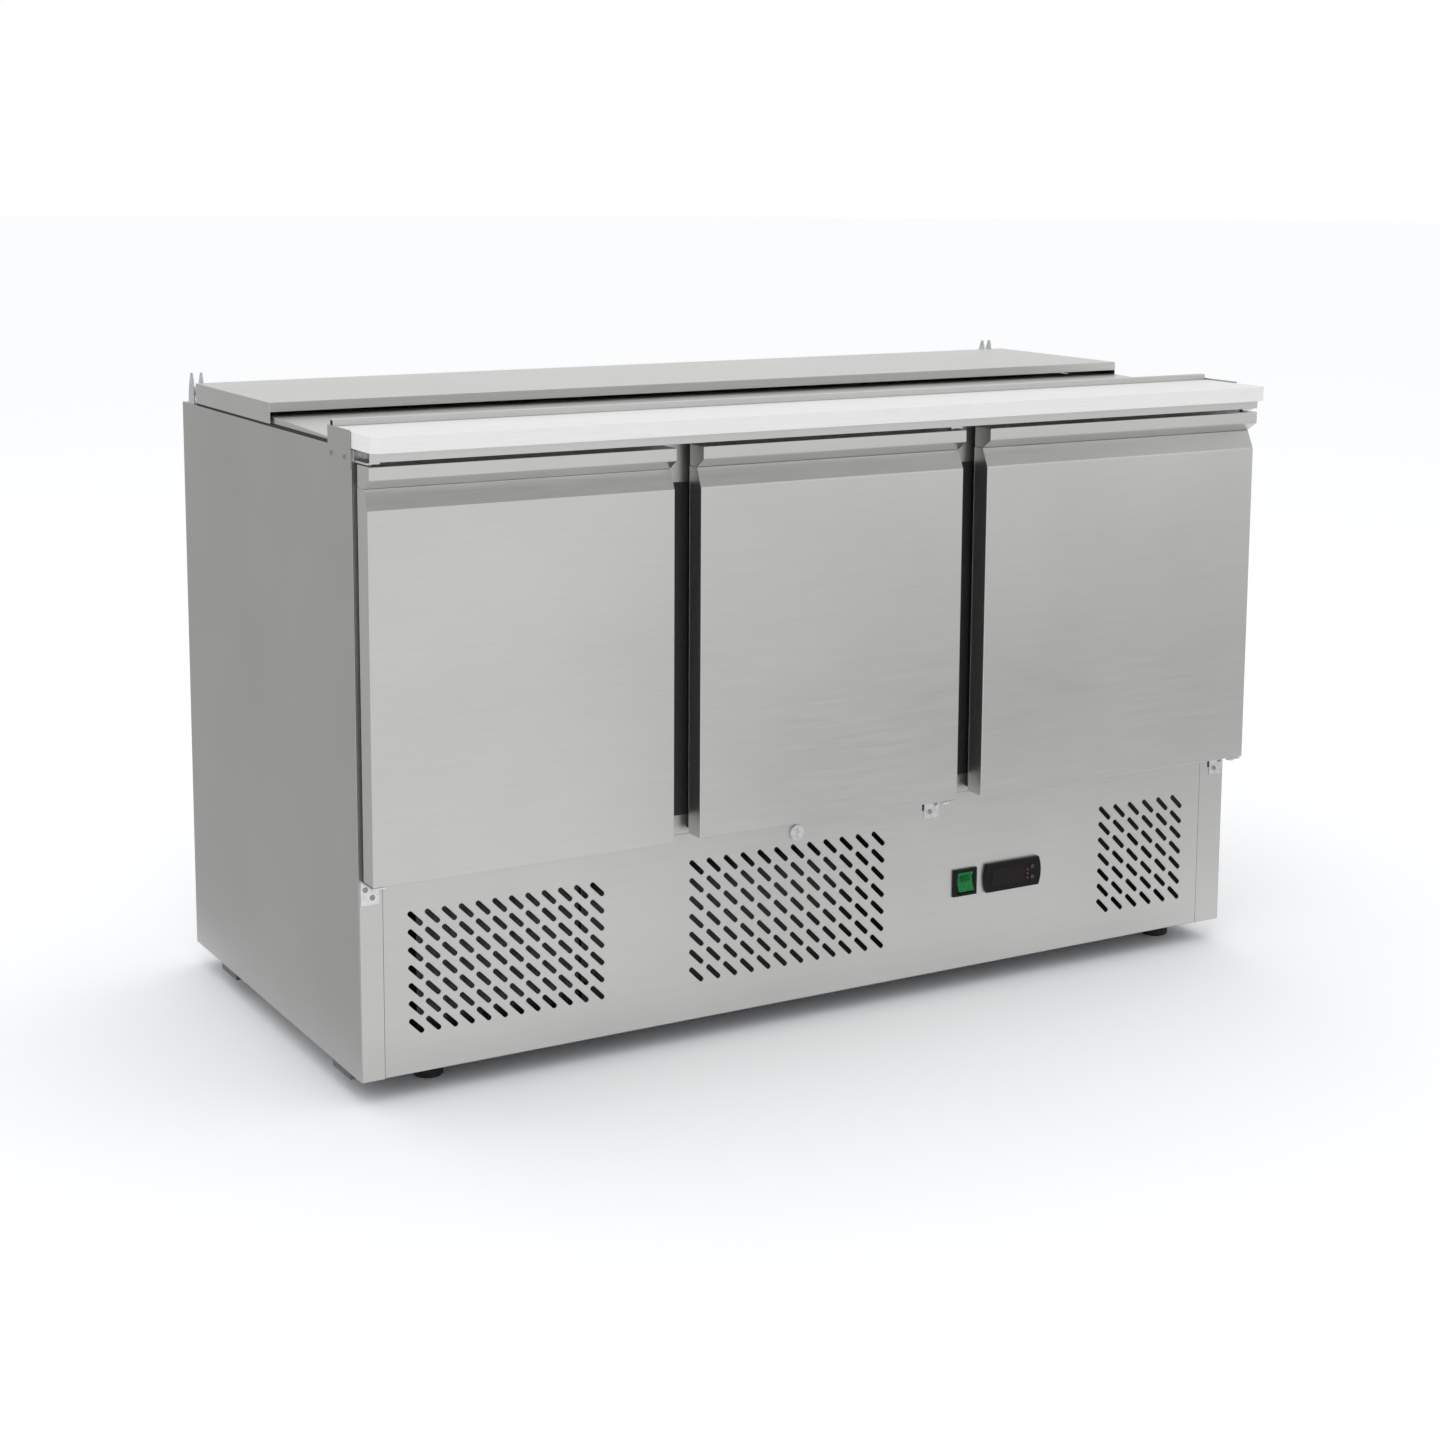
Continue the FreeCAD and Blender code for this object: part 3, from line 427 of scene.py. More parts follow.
def add_lathe(bm: bmesh.types.BMesh, outline: list[tuple[float, ...]], at: Iterable[float],
              turn: Matrix, steps: int = 24) -> None:
    """Add a closed shape turned from (radius, height) or (radius, height, lobe) points.

    Args:
        bm: the mesh that takes it.
        outline: points from the bottom of the axis to its top; a lobe above zero pulls the
            ring out in four directions, as in a cross recess.
        at: where the axis starts.
        turn: rotation from +Z to the wanted axis.
        steps: how many facets go round.
    """
    matrix = Matrix.Translation(Vector(at)) @ turn.to_4x4()
    rings = []
    for radius, height, *lobe in outline:
        if radius < 1e-7:
            rings.append([bm.verts.new(matrix @ Vector((0, 0, height)))])
            continue
        ring = []
        for k in range(steps):
            angle = math.tau * k / steps
            reach = radius * (1.0 + sum(lobe) * math.cos(4.0 * angle))
            ring.append(bm.verts.new(
                matrix @ Vector((reach * math.cos(angle), reach * math.sin(angle), height))))
        rings.append(ring)
    for below, above in zip(rings, rings[1:]):
        for k in range(steps):
            after = (k + 1) % steps
            corners = [below[k % len(below)], below[after % len(below)],
                       above[after % len(above)], above[k % len(above)]]
            unique = list(dict.fromkeys(corners))
            if len(unique) > 2:
                bm.faces.new(unique)


# Turns from +Z to each axis.
TO_FRONT = Matrix.Rotation(math.radians(90), 3, "X")
TO_LEFT = Matrix.Rotation(math.radians(-90), 3, "Y")
TO_X = Matrix.Rotation(math.radians(90), 3, "Y")
TO_Y = Matrix.Rotation(math.radians(-90), 3, "X")
TO_Z = Matrix.Identity(3)


def islands(node: str) -> list[Box]:
    """The boxes of the separate solids in a CAD node.

    Args:
        node: the node's name.

    Returns:
        Lowest and highest corner of each solid, from left to right.
    """
    bm = bmesh.new()
    bm.from_mesh(frame["nodes"][node].data)
    bmesh.ops.remove_doubles(bm, verts=bm.verts, dist=1e-6)
    seen: set = set()
    found: list[Box] = []
    for start in bm.verts:
        if start in seen:
            continue
        group, queue = [], [start]
        seen.add(start)
        while queue:
            vert = queue.pop()
            group.append(vert.co.copy())
            for edge in vert.link_edges:
                other = edge.other_vert(vert)
                if other not in seen:
                    seen.add(other)
                    queue.append(other)
        found.append((Vector(map(min, zip(*group))), Vector(map(max, zip(*group)))))
    bm.free()
    return sorted(found, key=lambda pair: (round(pair[0].x, 5), pair[0].y, pair[0].z))


def slot_of(node: str) -> str:
    """The record's material slot of a CAD node."""
    return next(part["material_slot"] for part in frame["record"]["subparts"]
                if part["node"] == node)


def softened(node: str, finish: Shop, radius_mm: float, shortest_mm: float = 8.0,
             segments: int = 3) -> bpy.types.Object:
    """A copy of a CAD node with its sharp outer edges rolled, in place of the node.

    Args:
        node: the CAD node.
        finish: its finish.
        radius_mm: size of the rolled edge.
        shortest_mm: shorter edges, such as the facets of a bore, stay sharp.
        segments: facets round the rolled edge.

    Returns:
        The new object, which replaces the node.
    """
    source = frame["nodes"][node]
    bm = bmesh.new()
    bm.from_mesh(source.data)
    bmesh.ops.remove_doubles(bm, verts=bm.verts, dist=1e-6)
    bmesh.ops.dissolve_limit(bm, angle_limit=math.radians(1.0), verts=bm.verts, edges=bm.edges)
    chosen = [
        edge for edge in bm.edges
        if len(edge.link_faces) == 2 and edge.is_convex
        and edge.calc_face_angle() > math.radians(14.0)
        and edge.calc_length() > shortest_mm * MM
    ]
    bmesh.ops.bevel(bm, geom=chosen, offset=radius_mm * MM, segments=segments, profile=0.5,
                    affect="EDGES", clamp_overlap=True)
    piece = finish_piece(f"{node}_rolled", bm, source["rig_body"], finish)
    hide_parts(node)
    return piece


# ------------------------------------------------------------------ geometry nodes

class Repeat(Enum):
    """How copies are laid out."""

    LINE = "line"
    RING = "ring"


@dataclass
class Repeater:
    """Copies a small shape along a line or round a ring with Geometry Nodes."""

    layout: Repeat
    count: int
    start: Point
    step: Point = (0.0, 0.0, 0.0)
    radius: float = 0.0

    def tree(self, shape: bpy.types.Object, finish: Shop) -> bpy.types.NodeTree:
        """Build the node tree.

        Args:
            shape: the object that is copied.
            finish: the finish of the copies.

        Returns:
            A tree with inputs for count, start, step and radius.
        """
        tree = bpy.data.node_groups.new(f"repeat_{self.layout.value}", "GeometryNodeTree")
        face = tree.interface
        face.new_socket("Geometry", in_out="OUTPUT", socket_type="NodeSocketGeometry")
        for label, kind in (("Count", "NodeSocketInt"), ("Start", "NodeSocketVector"),
                            ("Step", "NodeSocketVector"), ("Radius", "NodeSocketFloat")):
            face.new_socket(label, in_out="INPUT", socket_type=kind)
        values = add(tree, "NodeGroupInput").outputs
        source = add(tree, "GeometryNodeObjectInfo", {"Object": shape})
        links: dict = {"Instance": source.outputs["Geometry"]}
        if self.layout is Repeat.LINE:
            points = add(tree, "GeometryNodeMeshLine", {"mode": "OFFSET"},
                         {"Count": values["Count"], "Start Location": values["Start"],
                          "Offset": values["Step"]})
            links["Points"] = points.outputs["Mesh"]
        else:
            circle = add(tree, "GeometryNodeMeshCircle", {},
                         {"Vertices": values["Count"], "Radius": values["Radius"]})
            moved = add(tree, "GeometryNodeTransform", {},
                        {"Geometry": circle.outputs["Mesh"], "Translation": values["Start"]})
            where = add(tree, "GeometryNodeInputPosition")
            outward = add(tree, "ShaderNodeVectorMath", {"operation": "SUBTRACT"},
                          {0: where.outputs["Position"], 1: values["Start"]})
            facing = add(tree, "FunctionNodeAlignRotationToVector", {"axis": "X"},
                         {"Vector": outward.outputs["Vector"]})
            links["Points"] = moved.outputs["Geometry"]
            links["Rotation"] = facing.outputs["Rotation"]
        copies = add(tree, "GeometryNodeInstanceOnPoints", {}, links)
        real = add(tree, "GeometryNodeRealizeInstances", {},
                   {"Geometry": copies.outputs["Instances"]})
        painted = add(tree, "GeometryNodeSetMaterial", {"Material": Paint.of(finish)},
                      {"Geometry": real.outputs["Geometry"]})
        add(tree, "NodeGroupOutput", links={"Geometry": painted.outputs["Geometry"]})
        return tree

    def mesh(self, shape_mesh: bmesh.types.BMesh, finish: Shop) -> bpy.types.Mesh:
        """Lay out the copies and return them as one plain mesh.

        Args:
            shape_mesh: the small shape about the origin, freed here.
            finish: the finish of the copies.

        Returns:
            The evaluated mesh.
        """
        bmesh.ops.recalc_face_normals(shape_mesh, faces=shape_mesh.faces)
        data = bpy.data.meshes.new("shape")
        shape_mesh.to_mesh(data)
        shape_mesh.free()
        shape = bpy.data.objects.new("shape", data)
        holder = bpy.data.objects.new("holder", bpy.data.meshes.new("holder"))
        for item in (shape, holder):
            bpy.context.scene.collection.objects.link(item)
        modifier = holder.modifiers.new("repeat", "NODES")
        modifier.node_group = self.tree(shape, finish)
        values = {"Count": self.count, "Start": self.start, "Step": self.step,
                  "Radius": self.radius}
        for item in modifier.node_group.interface.items_tree:
            if item.in_out == "INPUT":
                modifier[item.identifier] = values[item.name]
        holder.update_tag()
        graph = bpy.context.evaluated_depsgraph_get()
        made = bpy.data.meshes.new_from_object(holder.evaluated_get(graph))
        bpy.data.objects.remove(holder)
        bpy.data.objects.remove(shape)
        return made


def repeated(name: str, layouts: list[Repeater], shape: Callable[[], bmesh.types.BMesh],
             body: str, finish: Shop) -> bpy.types.Object:
    """One piece made of several runs of the same small shape.

    Args:
        name: the piece's name.
        layouts: the runs.
        shape: makes the small shape.
        body: the body that carries the piece.
        finish: its finish.

    Returns:
        The new object.
    """
    bm = bmesh.new()
    for layout in layouts:
        bm.from_mesh(layout.mesh(shape(), finish))
    for face in bm.faces:
        face.material_index = 0
    return finish_piece(name, bm, body, finish)


# ------------------------------------------------------------------ sub-assemblies

def tube(bm: bmesh.types.BMesh, points: list[Point], radius_mm: float) -> None:
    """Add a bent round tube through some points, in metres."""
    curve = bpy.data.curves.new("tube", "CURVE")
    curve.dimensions = "3D"
    curve.bevel_depth = radius_mm * MM
    curve.bevel_resolution = 3
    curve.resolution_u = 8
    curve.use_fill_caps = True
    spline = curve.splines.new("BEZIER")
    spline.bezier_points.add(len(points) - 1)
    for knot, place in zip(spline.bezier_points, points):
        knot.co = place
        knot.handle_left_type = knot.handle_right_type = "AUTO"
    holder = bpy.data.objects.new("tube", curve)
    bpy.context.scene.collection.objects.link(holder)
    graph = bpy.context.evaluated_depsgraph_get()
    made = bpy.data.meshes.new_from_object(holder.evaluated_get(graph))
    bm.from_mesh(made)
    bpy.data.objects.remove(holder)


def hoop(bm: bmesh.types.BMesh, centre: Point, turn: Matrix, radius_mm: float,
         wire_mm: float) -> None:
    """Add a closed ring of round wire about an axis."""
    outline = [
        ((radius_mm + wire_mm * math.cos(math.tau * k / 8)) * MM,
         wire_mm * math.sin(math.tau * k / 8) * MM)
        for k in range(9)
    ]
    add_lathe(bm, outline, centre, turn, 48)
    bmesh.ops.remove_doubles(bm, verts=bm.verts, dist=1e-6)


def screw_head() -> bmesh.types.BMesh:
    """A pan head with a cross recess, standing along +Z from the origin."""
    bm = bmesh.new()
    add_lathe(bm, [(0, 0), (3.5 * MM, 0), (3.5 * MM, 0.45 * MM), (3.1 * MM, 1.0 * MM),
                   (2.3 * MM, 1.35 * MM), (1.25 * MM, 1.48 * MM, 0.5),
                   (1.0 * MM, 0.5 * MM, 0.5), (0, 0.3 * MM)], (0, 0, 0), TO_Z, 32)
    return bm


def turned_head(turn: Matrix) -> Callable[[], bmesh.types.BMesh]:
    """A maker of screw heads that stand along another axis."""
    def make() -> bmesh.types.BMesh:
        """Make the turned head."""
        bm = screw_head()
        bmesh.ops.rotate(bm, verts=bm.verts, matrix=turn)
        return bm
    return make


@dataclass
class Finishes:
    """Puts each slot's finish on the CAD meshes, with the nodes that differ named."""

    by_slot: dict[str, Shop] = field(default_factory=lambda: {
        "steel_outer": Shop.FRONT_SHEET, "steel_door": Shop.DOOR_SHEET,
        "steel_inner": Shop.INNER_SHEET, "steel_galvanised": Shop.ZINC_SHEET,
        "door_inner": Shop.ABS_WHITE, "foam": Shop.FOAM, "seal": Shop.SEAL,
        "foot_rubber": Shop.FOOT, "mullion_plastic": Shop.POST, "board": Shop.BOARD,
        "hinge_steel": Shop.BRIGHT_ZINC, "screw_steel": Shop.SCREW,
        "control_plastic": Shop.ABS_BLACK, "rocker_green": Shop.ROCKER,
        "key_plastic": Shop.KEY, "wire_coat": Shop.WIRE, "coil_fins": Shop.FINS,
        "fan_plastic": Shop.FAN, "motor_black": Shop.ENAMEL, "gland_plastic": Shop.ABS_BLACK,
    })
    by_node: dict[str, Shop] = field(default_factory=lambda: {
        "side_panel_left": Shop.SIDE_SHEET_SHADED, "side_panel_right": Shop.SIDE_SHEET_SHADED,
        "board_tray": Shop.TOP_SHEET, "well_frame": Shop.TOP_SHEET,
        "lid_front": Shop.TOP_SHEET, "lid_rear": Shop.TOP_SHEET,
        "tray_end_plates": Shop.SIDE_SHEET_SHADED,
    })

    def of(self, node: str) -> Shop:
        """The finish of a node."""
        return self.by_node.get(node) or self.by_slot[slot_of(node)]

    def apply(self) -> None:
        """Dress every CAD mesh."""
        for node, piece in frame["nodes"].items():
            Paint.dress(piece, self.of(node))


@dataclass
class SheetWork:
    """Folded sheet, board and door parts whose edges are rolled."""

    finishes: Finishes
    rolls_mm: dict[str, float] = field(default_factory=lambda: {
        "side_panel_left": 0.5, "side_panel_right": 0.5, "board_tray": 0.5,
        "lid_rear": 0.5, "lid_front": 0.5, "tray_end_plates": 0.45,
        "lower_hinges": 0.4, "upper_hinges": 0.4, "lid_posts": 0.5, "lid_arms": 0.5,
        "switch_bezel": 0.8, "base_tray": 0.4, "evaporator_cover": 0.4,
        "controller_case": 0.8, "cutting_board": 2.0,
    })
    door_roll_mm: float = 1.1

    def build(self) -> None:
        """Roll the edges of each part."""
        for node, radius in self.rolls_mm.items():
            softened(node, self.finishes.of(node), radius)
        for side in ("left", "middle", "right"):
            for part in ("skin", "handle"):
                node = f"door_{side}_{part}"
                softened(node, self.finishes.of(node), self.door_roll_mm, 12.0)


@dataclass
class Fixings:
    """Cross-recess screws on the hinge plates, the tray ends and the rear panel."""

    rear_screw_z: tuple[float, float] = (0.06, 0.78)
    rear_half: float = 0.655
    rear_count: int = 6
    rear_sink: float = 0.6 * MM

    def build(self) -> None:
        """Make the screws."""
        front, left, right = [], [], []
        for low, high in islands("fixing_screws"):
            centre = (low + high) / 2
            if high.y - low.y < 0.002:
                front.append(Repeater(Repeat.LINE, 1, (centre.x, high.y, centre.z)))
            elif centre.x < 0:
                left.append(Repeater(Repeat.LINE, 1, (high.x, centre.y, centre.z)))
            else:
                right.append(Repeater(Repeat.LINE, 1, (low.x, centre.y, centre.z)))
        hinge = repeated("hinge_plate_screws", front, turned_head(TO_FRONT), "cabinet",
                         Shop.SCREW)
        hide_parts("fixing_screws")
        repeated("tray_end_screws_left", left, turned_head(TO_LEFT), "cabinet",
                 Shop.SCREW)
        repeated("tray_end_screws_right", right, turned_head(TO_X), "cabinet",
                 Shop.SCREW)
        _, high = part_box("back_panel")
        face = high.y - self.rear_sink
        rows = [
            Repeater(Repeat.LINE, self.rear_count, (-self.rear_half, face, z),
                     (self.rear_half * 2 / (self.rear_count - 1), 0, 0))
            for z in self.rear_screw_z
        ]
        repeated("rear_panel_screws", rows, turned_head(TO_Y), "cabinet", Shop.SCREW)


@dataclass
class HingeSlotShade:
    """Thin dark bars that stand for relief slots beside the lower hinge plates of two doors.

    The bars are painted shade: the sheet behind them has no slot, and the bars lie on it, half a
    millimetre proud.
    """

    width: float = 0.0024
    height: float = 0.017
    drop: float = 0.003
    gap: float = 0.0006
    plate_top: float = 0.2875
    y_front: float = -0.2845
    y_rear: float = -0.2838

    def build(self) -> None:
        """Make the bars of painted slot shade."""
        bm = bmesh.new()
        for low, _ in islands("lower_hinges")[1:]:
            right = low.x - self.gap
            top = self.plate_top - self.drop
            add_block(bm, (right - self.width, self.y_front, top - self.height),
                      (right, self.y_rear, top))
        bmesh.ops.bevel(bm, geom=bm.edges[:], offset=0.0002, segments=1, affect="EDGES")
        # Painted shade of the relief slots, laid on the sheet face.
        finish_piece("hinge_relief_slots", bm, "cabinet", Shop.SLOT_SHADE)


@dataclass
class Controls:
    """Details of the switch and the temperature controller."""

    lamp_radius: float = 1.3

    def build(self) -> None:
        """Make the lens, its lamps and the rocker's grip."""
        low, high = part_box("controller_case")
        middle = (low.z + high.z) / 2
        face = low.y
        bm = bmesh.new()
        add_block(bm, (low.x + 0.012, face - 0.0003, middle - 0.013),
                  (low.x + 0.068, face + 0.0008, middle + 0.013))
        bmesh.ops.bevel(bm, geom=bm.edges[:], offset=0.0004, segments=2, affect="EDGES")
        finish_piece("controller_lens", bm, "cabinet", Shop.LENS)
        bm = bmesh.new()
        for step in (-1, 0, 1):
            place = (low.x + 0.074, face + 0.0002, middle - 0.002 + step * 0.006)
            add_lathe(bm, [(0, 0), (self.lamp_radius * MM, 0), (self.lamp_radius * MM, 0.3 * MM),
                           (0.7 * MM, 0.7 * MM), (0, 0.8 * MM)], place, TO_FRONT, 16)
        finish_piece("controller_lamps", bm, "cabinet", Shop.LAMP)
        bm = bmesh.new()
        low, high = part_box("rocker_switch")
        for step in range(5):
            z = high.z - 0.006 - step * 0.0016
            add_block(bm, (low.x + 0.006, low.y + 0.0022, z), (high.x - 0.006, low.y + 0.0045,
                                                              z + 0.0007))
        finish_piece("rocker_grip", bm, "rocker", Shop.ROCKER)


@dataclass
class Feet:
    """Grip ribs and a lock nut on each levelling foot."""

    ribs: int = 28

    def build(self) -> None:
        """Make the ribs and nuts."""
        for corner in ("front_left", "front_right", "rear_left", "rear_right"):
            low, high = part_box(f"foot_{corner}")
            centre = (low + high) / 2

            def rib() -> bmesh.types.BMesh:
                """One upright grip rib."""
                bm = bmesh.new()
                add_block(bm, (-0.0008, -0.0008, -0.0035), (0.0004, 0.0008, 0.0035))
                bmesh.ops.bevel(bm, geom=bm.edges[:], offset=0.0003, segments=1, affect="EDGES")
                return bm

            ring = Repeater(Repeat.RING, self.ribs, (centre.x, centre.y, 0.0058), radius=0.0192)
            repeated(f"foot_{corner}_ribs", [ring], rib, f"foot_{corner}", Shop.FOOT)
            bm = bmesh.new()
            add_lathe(bm, [(0, 0.0131), (0.0115, 0.0131), (0.0125, 0.0138), (0.0125, 0.0178),
                           (0.0115, 0.0185), (0, 0.0185)], (centre.x, centre.y, 0), TO_Z, 6)
            finish_piece(f"foot_{corner}_nut", bm, f"foot_{corner}", Shop.BRIGHT_ZINC)


@dataclass
class Machinery:
    """Fins, tubes and guards of the cooling unit."""

    fin_pitch: float = 0.0026
    fin_gauge: float = 0.0003

    def fins(self, name: str, low: Vector, high: Vector) -> None:
        """A bank of upright fins between two corners.

        Args:
            name: the piece's name.
            low: lowest corner.
            high: highest corner.
        """
        depth, height = high.y - low.y, high.z - low.z

        def fin() -> bmesh.types.BMesh:
            """One thin fin."""
            bm = bmesh.new()
            add_block(bm, (0, 0, 0), (self.fin_gauge, depth, height))
            return bm

        count = int((high.x - low.x) / self.fin_pitch)
        run = Repeater(Repeat.LINE, count, tuple(low), (self.fin_pitch, 0, 0))
        repeated(name, [run], fin, "cabinet", Shop.FINS)

    def build(self) -> None:
        """Make the coils, guard and tubes."""
        low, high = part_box("condenser")
        core_low = Vector((low.x + 0.003, low.y, 0.072))
        core_high = Vector((high.x - 0.003, high.y, high.z - 0.002))
        self.fins("condenser_fins", core_low, core_high)
        bm = bmesh.new()
        for x in (low.x, high.x - 0.0015):
            add_block(bm, (x, low.y, 0.033), (x + 0.0015, high.y, high.z))
        add_block(bm, (low.x, low.y, high.z - 0.0015), (high.x, high.y, high.z))
        add_block(bm, (low.x, low.y, 0.0705), (high.x, high.y, 0.072))
        frame_piece = finish_piece("condenser_frame", bm, "cabinet", Shop.ZINC_SHEET)
        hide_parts("condenser")
        low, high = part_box("evaporator_coil")
        inset = Vector((0.002, 0, 0.002))
        self.fins("evaporator_fins", low + inset, high - inset)
        bm = bmesh.new()
        for x in (low.x, high.x - 0.0015):
            add_block(bm, (x, low.y, low.z), (x + 0.0015, high.y, high.z))
        coil = finish_piece("evaporator_end_plates", bm, "cabinet", Shop.FINS)
        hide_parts("evaporator_coil")
        self.guard()
        self.tubes()

    def guard(self) -> None:
        """Wire guard over the evaporator fan mouth."""
        low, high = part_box("evaporator_fan")
        centre = (low + high) / 2
        cover_low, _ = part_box("evaporator_cover")
        bm = bmesh.new()
        place = (centre.x, cover_low.y + 0.0022, centre.z)
        for radius in (14.0, 28.0, 42.0, 56.0):
            hoop(bm, place, TO_FRONT, radius, 0.8)
        for step in range(4):
            angle = math.pi * step / 4 + 0.4
            reach = Vector((math.cos(angle), 0, math.sin(angle))) * 0.061
            tube(bm, [tuple(Vector(place) - reach), place, tuple(Vector(place) + reach)], 0.8)
        finish_piece("evaporator_fan_guard", bm, "cabinet", Shop.WIRE)

    def tubes(self) -> None:
        """Copper tubes between compressor, condenser and cold coil."""
        bm = bmesh.new()
        tube(bm, [(-0.414, 0.02, 0.13), (-0.375, 0.02, 0.135), (-0.352, -0.06, 0.15),
                  (-0.35, -0.20, 0.19), (-0.356, -0.243, 0.205), (-0.371, -0.243, 0.207)], 3.2)
        tube(bm, [(-0.485, 0.03, 0.2), (-0.485, 0.05, 0.245), (-0.40, 0.14, 0.26),
                  (-0.15, 0.25, 0.258), (-0.04, 0.285, 0.262), (-0.02, 0.29, 0.275)], 4.0)
        tube(bm, [(-0.371, -0.243, 0.09), (-0.33, -0.22, 0.09), (-0.30, -0.05, 0.11),
                  (-0.25, 0.18, 0.2), (-0.12, 0.26, 0.235), (-0.035, 0.29, 0.262),
                  (-0.03, 0.292, 0.275)], 2.4)
        finish_piece("copper_tubes", bm, "cabinet", Shop.COPPER)


# ------------------------------------------------------------------ studio

@dataclass
class Card:
    """A grey board that only gloss sees, so sheet metal has something to mirror.

    It hides the white surround from the metal, so the sheets render darker than written.
    """

    name: str
    corners: tuple[Point, Point, Point, Point]
    tones: tuple[float, float, float, float]

    def build(self) -> None:
        """Make the card, its tone running smoothly between the corners."""
        mesh = bpy.data.meshes.new(self.name)
        mesh.from_pydata(list(self.corners), [], [(0, 1, 2, 3)])
        card = bpy.data.objects.new(self.name, mesh)
        bpy.context.scene.collection.objects.link(card)
        tones = mesh.attributes.new("tone", "FLOAT", "POINT")
        tones.data.foreach_set("value", self.tones)
        material = bpy.data.materials.new(self.name)
        material.use_nodes = True
        tree = material.node_tree
        tree.nodes.clear()
        tone = add(tree, "ShaderNodeAttribute", {"attribute_name": "tone"})
        light = add(tree, "ShaderNodeEmission", {"Color": (1, 1, 1, 1)},
                    {"Strength": tone.outputs["Fac"]})
        add(tree, "ShaderNodeOutputMaterial", links={"Surface": light.outputs["Emission"]})
        mesh.materials.append(material)
        for ray in ("camera", "diffuse", "transmission", "volume_scatter", "shadow"):
            setattr(card, f"visible_{ray}", False)


def strip(name: str, edges: tuple[Point, Point, Point, Point], near: float, far: float) -> Card:
    """A card whose first two corners share one tone and last two another."""
    return Card(name, edges, (near, near, far, far))


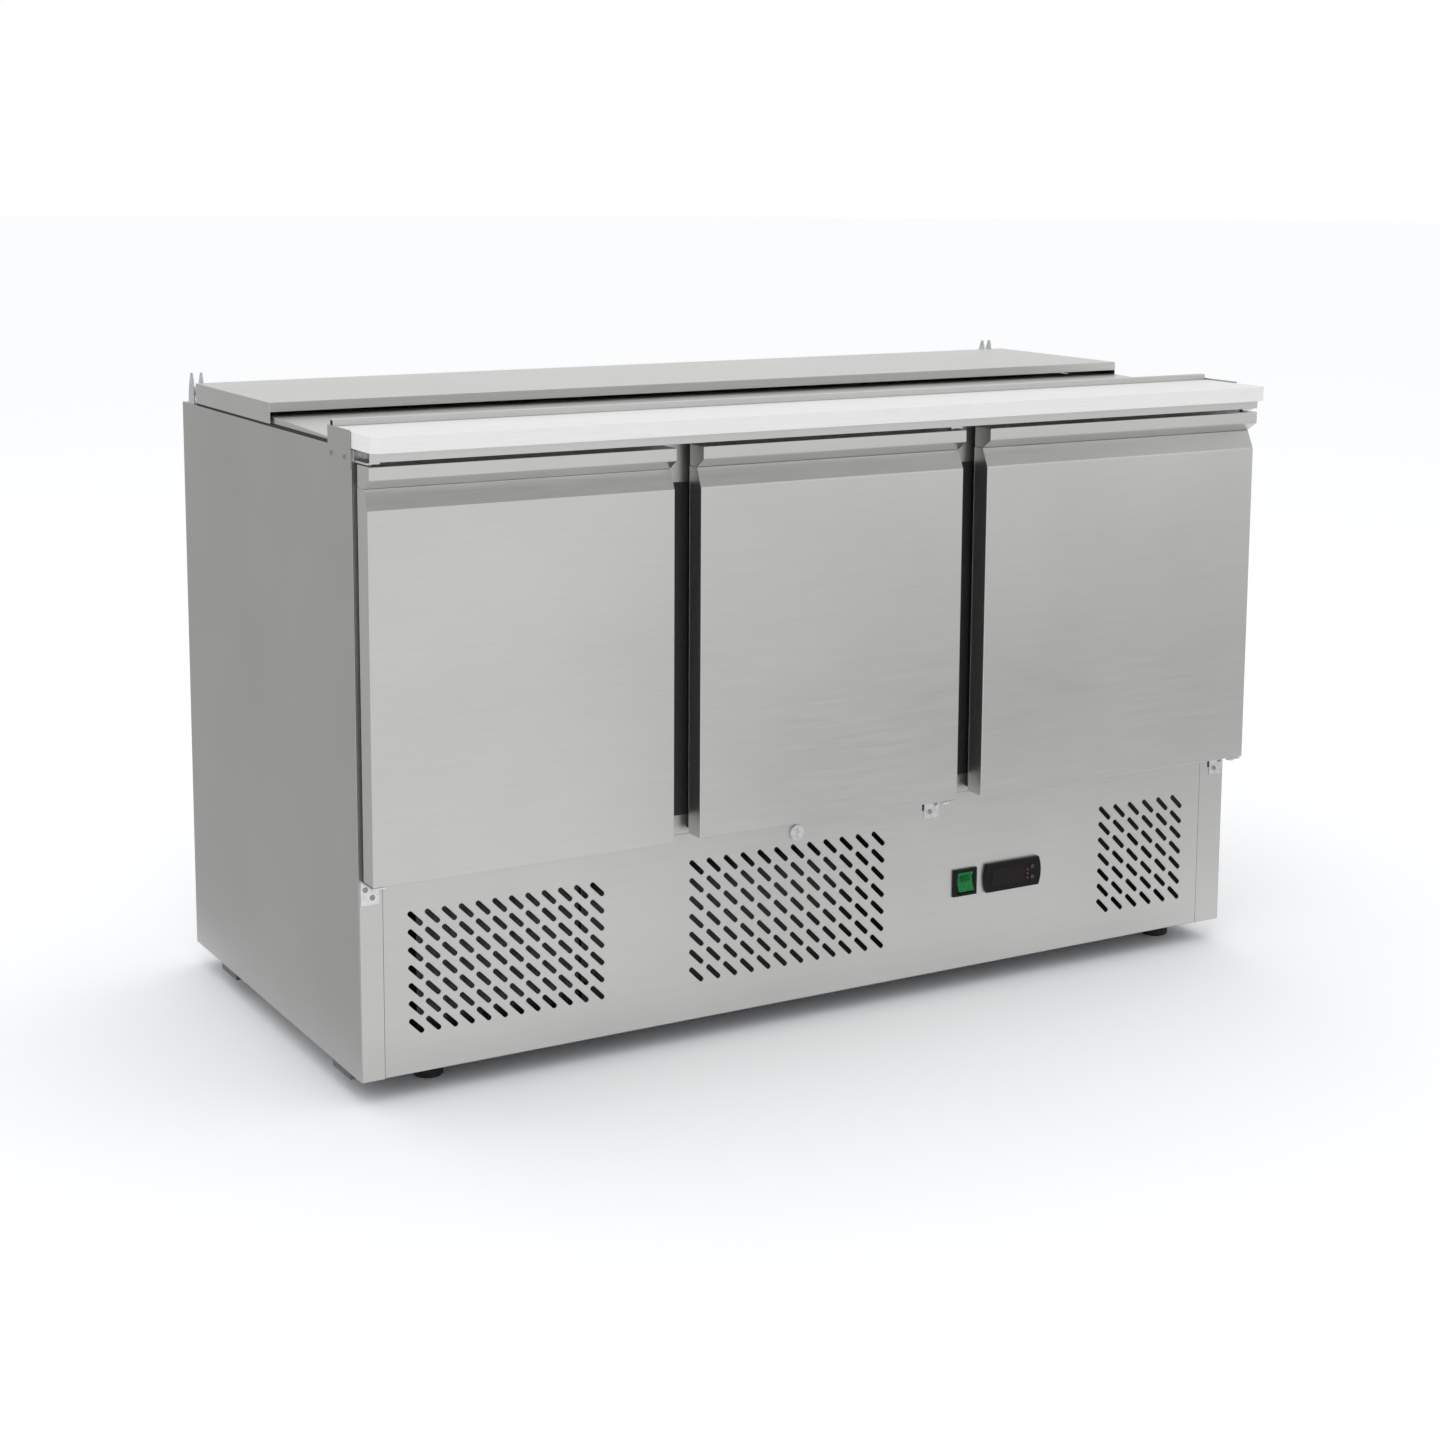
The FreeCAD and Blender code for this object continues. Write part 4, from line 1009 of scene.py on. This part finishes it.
@dataclass
class Studio:
    """White floor, white surround, soft lamps and the camera."""

    place: Point = (-1.7565, -3.0181, 1.1665)
    turn_degrees: Point = (81.518, -0.293, -29.927)
    lens: float = 62.053
    shift: float = -0.1394

    def floor(self) -> None:
        """A wide pale floor that keeps the shadow."""
        material, _, shader = start_material("studio_floor")
        shader.inputs["Roughness"].default_value = 0.95
        shader.inputs["Specular IOR Level"].default_value = 0.1
        shader.inputs["Base Color"].default_value = linear("fefefe")
        mesh = bpy.data.meshes.new("studio_floor")
        bm = bmesh.new()
        bmesh.ops.create_circle(bm, cap_ends=True, radius=40.0, segments=96)
        bm.to_mesh(mesh)
        bm.free()
        mesh.materials.append(material)
        piece = bpy.data.objects.new("studio_floor", mesh)
        bpy.context.scene.collection.objects.link(piece)

    def surround(self) -> None:
        """A white world to eye and gloss, softer as a light."""
        world = bpy.data.worlds.new("surround")
        bpy.context.scene.world = world
        world.use_nodes = True
        tree = world.node_tree
        tree.nodes.clear()
        path = add(tree, "ShaderNodeLightPath")
        first = add(tree, "ShaderNodeMath", {"operation": "MAXIMUM"},
                    {0: path.outputs["Is Camera Ray"], 1: path.outputs["Is Glossy Ray"]})
        seen = add(tree, "ShaderNodeMath", {"operation": "MAXIMUM"},
                   {0: first.outputs[0], 1: path.outputs["Is Transmission Ray"]})
        eye = add(tree, "ShaderNodeBackground", {"Color": (1, 1, 1, 1), "Strength": 1.0})
        lamp = add(tree, "ShaderNodeBackground", {"Color": linear("fcfdff"), "Strength": 1.0})
        mixed = add(tree, "ShaderNodeMixShader", {}, {0: seen.outputs[0],
                                                     1: lamp.outputs[0], 2: eye.outputs[0]})
        add(tree, "ShaderNodeOutputWorld", links={"Surface": mixed.outputs[0]})

    def lamp(self, name: str, place: Point, aim: Point, size: float, watts: float) -> None:
        """One soft square lamp."""
        data = bpy.data.lights.new(name, "AREA")
        data.size = size
        data.energy = watts
        lamp = bpy.data.objects.new(name, data)
        lamp.location = place
        lamp.rotation_euler = (Vector(aim) - Vector(place)).to_track_quat("-Z", "Y").to_euler()
        lamp.visible_glossy = False
        bpy.context.scene.collection.objects.link(lamp)

    def camera(self) -> None:
        """The camera."""
        data = bpy.data.cameras.new("view")
        data.lens = self.lens
        data.sensor_width = 36.0
        data.shift_y = self.shift
        camera = bpy.data.objects.new("view", data)
        camera.location = self.place
        camera.rotation_euler = tuple(math.radians(angle) for angle in self.turn_degrees)
        bpy.context.scene.collection.objects.link(camera)
        bpy.context.scene.camera = camera

    def build(self) -> None:
        """Set everything up."""
        self.floor()
        self.surround()
        self.camera()
        self.lamp("key", (-2.5, -3.5, 4.5), (0, 0, 0.5), 3.0, 30.0)
        self.lamp("top", (0, 0.5, 4.5), (0, 0, 0.8), 3.5, 15.0)
        low = 0.004
        for card in (
            strip("floor_left_of_front", ((-3.0, -0.42, low), (-0.2, -0.42, low),
                                          (2.33, -5.0, low), (-3.0, -5.0, low)), 0.93, 0.93),
            strip("floor_near_front", ((-0.2, -0.42, low), (5.0, -0.42, low),
                                       (5.0, -1.1, low), (0.18, -1.1, low)), 0.86, 0.78),
            strip("floor_dark_band", ((0.18, -1.1, low), (5.0, -1.1, low),
                                      (5.0, -2.9, low), (1.17, -2.9, low)), 0.44, 0.48),
            strip("floor_rising_band", ((1.17, -2.9, low), (6.0, -2.9, low),
                                        (6.0, -3.9, low), (1.72, -3.9, low)), 0.6, 0.98),
            strip("overhead_front", ((-3.0, -3.4, 3.0), (4.0, -3.4, 3.0),
                                     (4.0, -1.2, 4.4), (-3.0, -1.2, 4.4)), 0.3, 0.3),
            strip("floor_left", ((-0.75, -0.42, low), (-0.75, 9.0, low),
                                 (-8.0, 9.0, low), (-8.0, -0.42, low)), 0.55, 0.55),
            strip("rear_left", ((-8.0, 9.0, 0.0), (-0.9, 9.0, 0.0),
                                (-0.9, 9.0, 5.0), (-8.0, 9.0, 5.0)), 0.57, 0.57),
            strip("far_left", ((-4.0, -5.0, 0.0), (-4.0, 9.0, 0.0),
                               (-4.0, 9.0, 4.0), (-4.0, -5.0, 4.0)), 0.57, 0.57),
            strip("rear", ((-0.5, 7.0, 0.3), (8.0, 7.0, 0.3), (8.0, 7.0, 4.0),
                           (-0.5, 7.0, 4.0)), 0.86, 0.95),
        ):
            card.build()
        scene = bpy.context.scene
        scene.view_settings.view_transform = "Standard"


def main() -> None:
    """Dress the table, add its small parts and set up the view."""
    logging.basicConfig(level=logging.INFO)
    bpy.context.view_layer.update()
    finishes = Finishes()
    finishes.apply()
    SheetWork(finishes).build()
    Fixings().build()
    HingeSlotShade().build()
    Controls().build()
    Feet().build()
    Machinery().build()
    Studio().build()


if __name__ == "__main__":
    main()
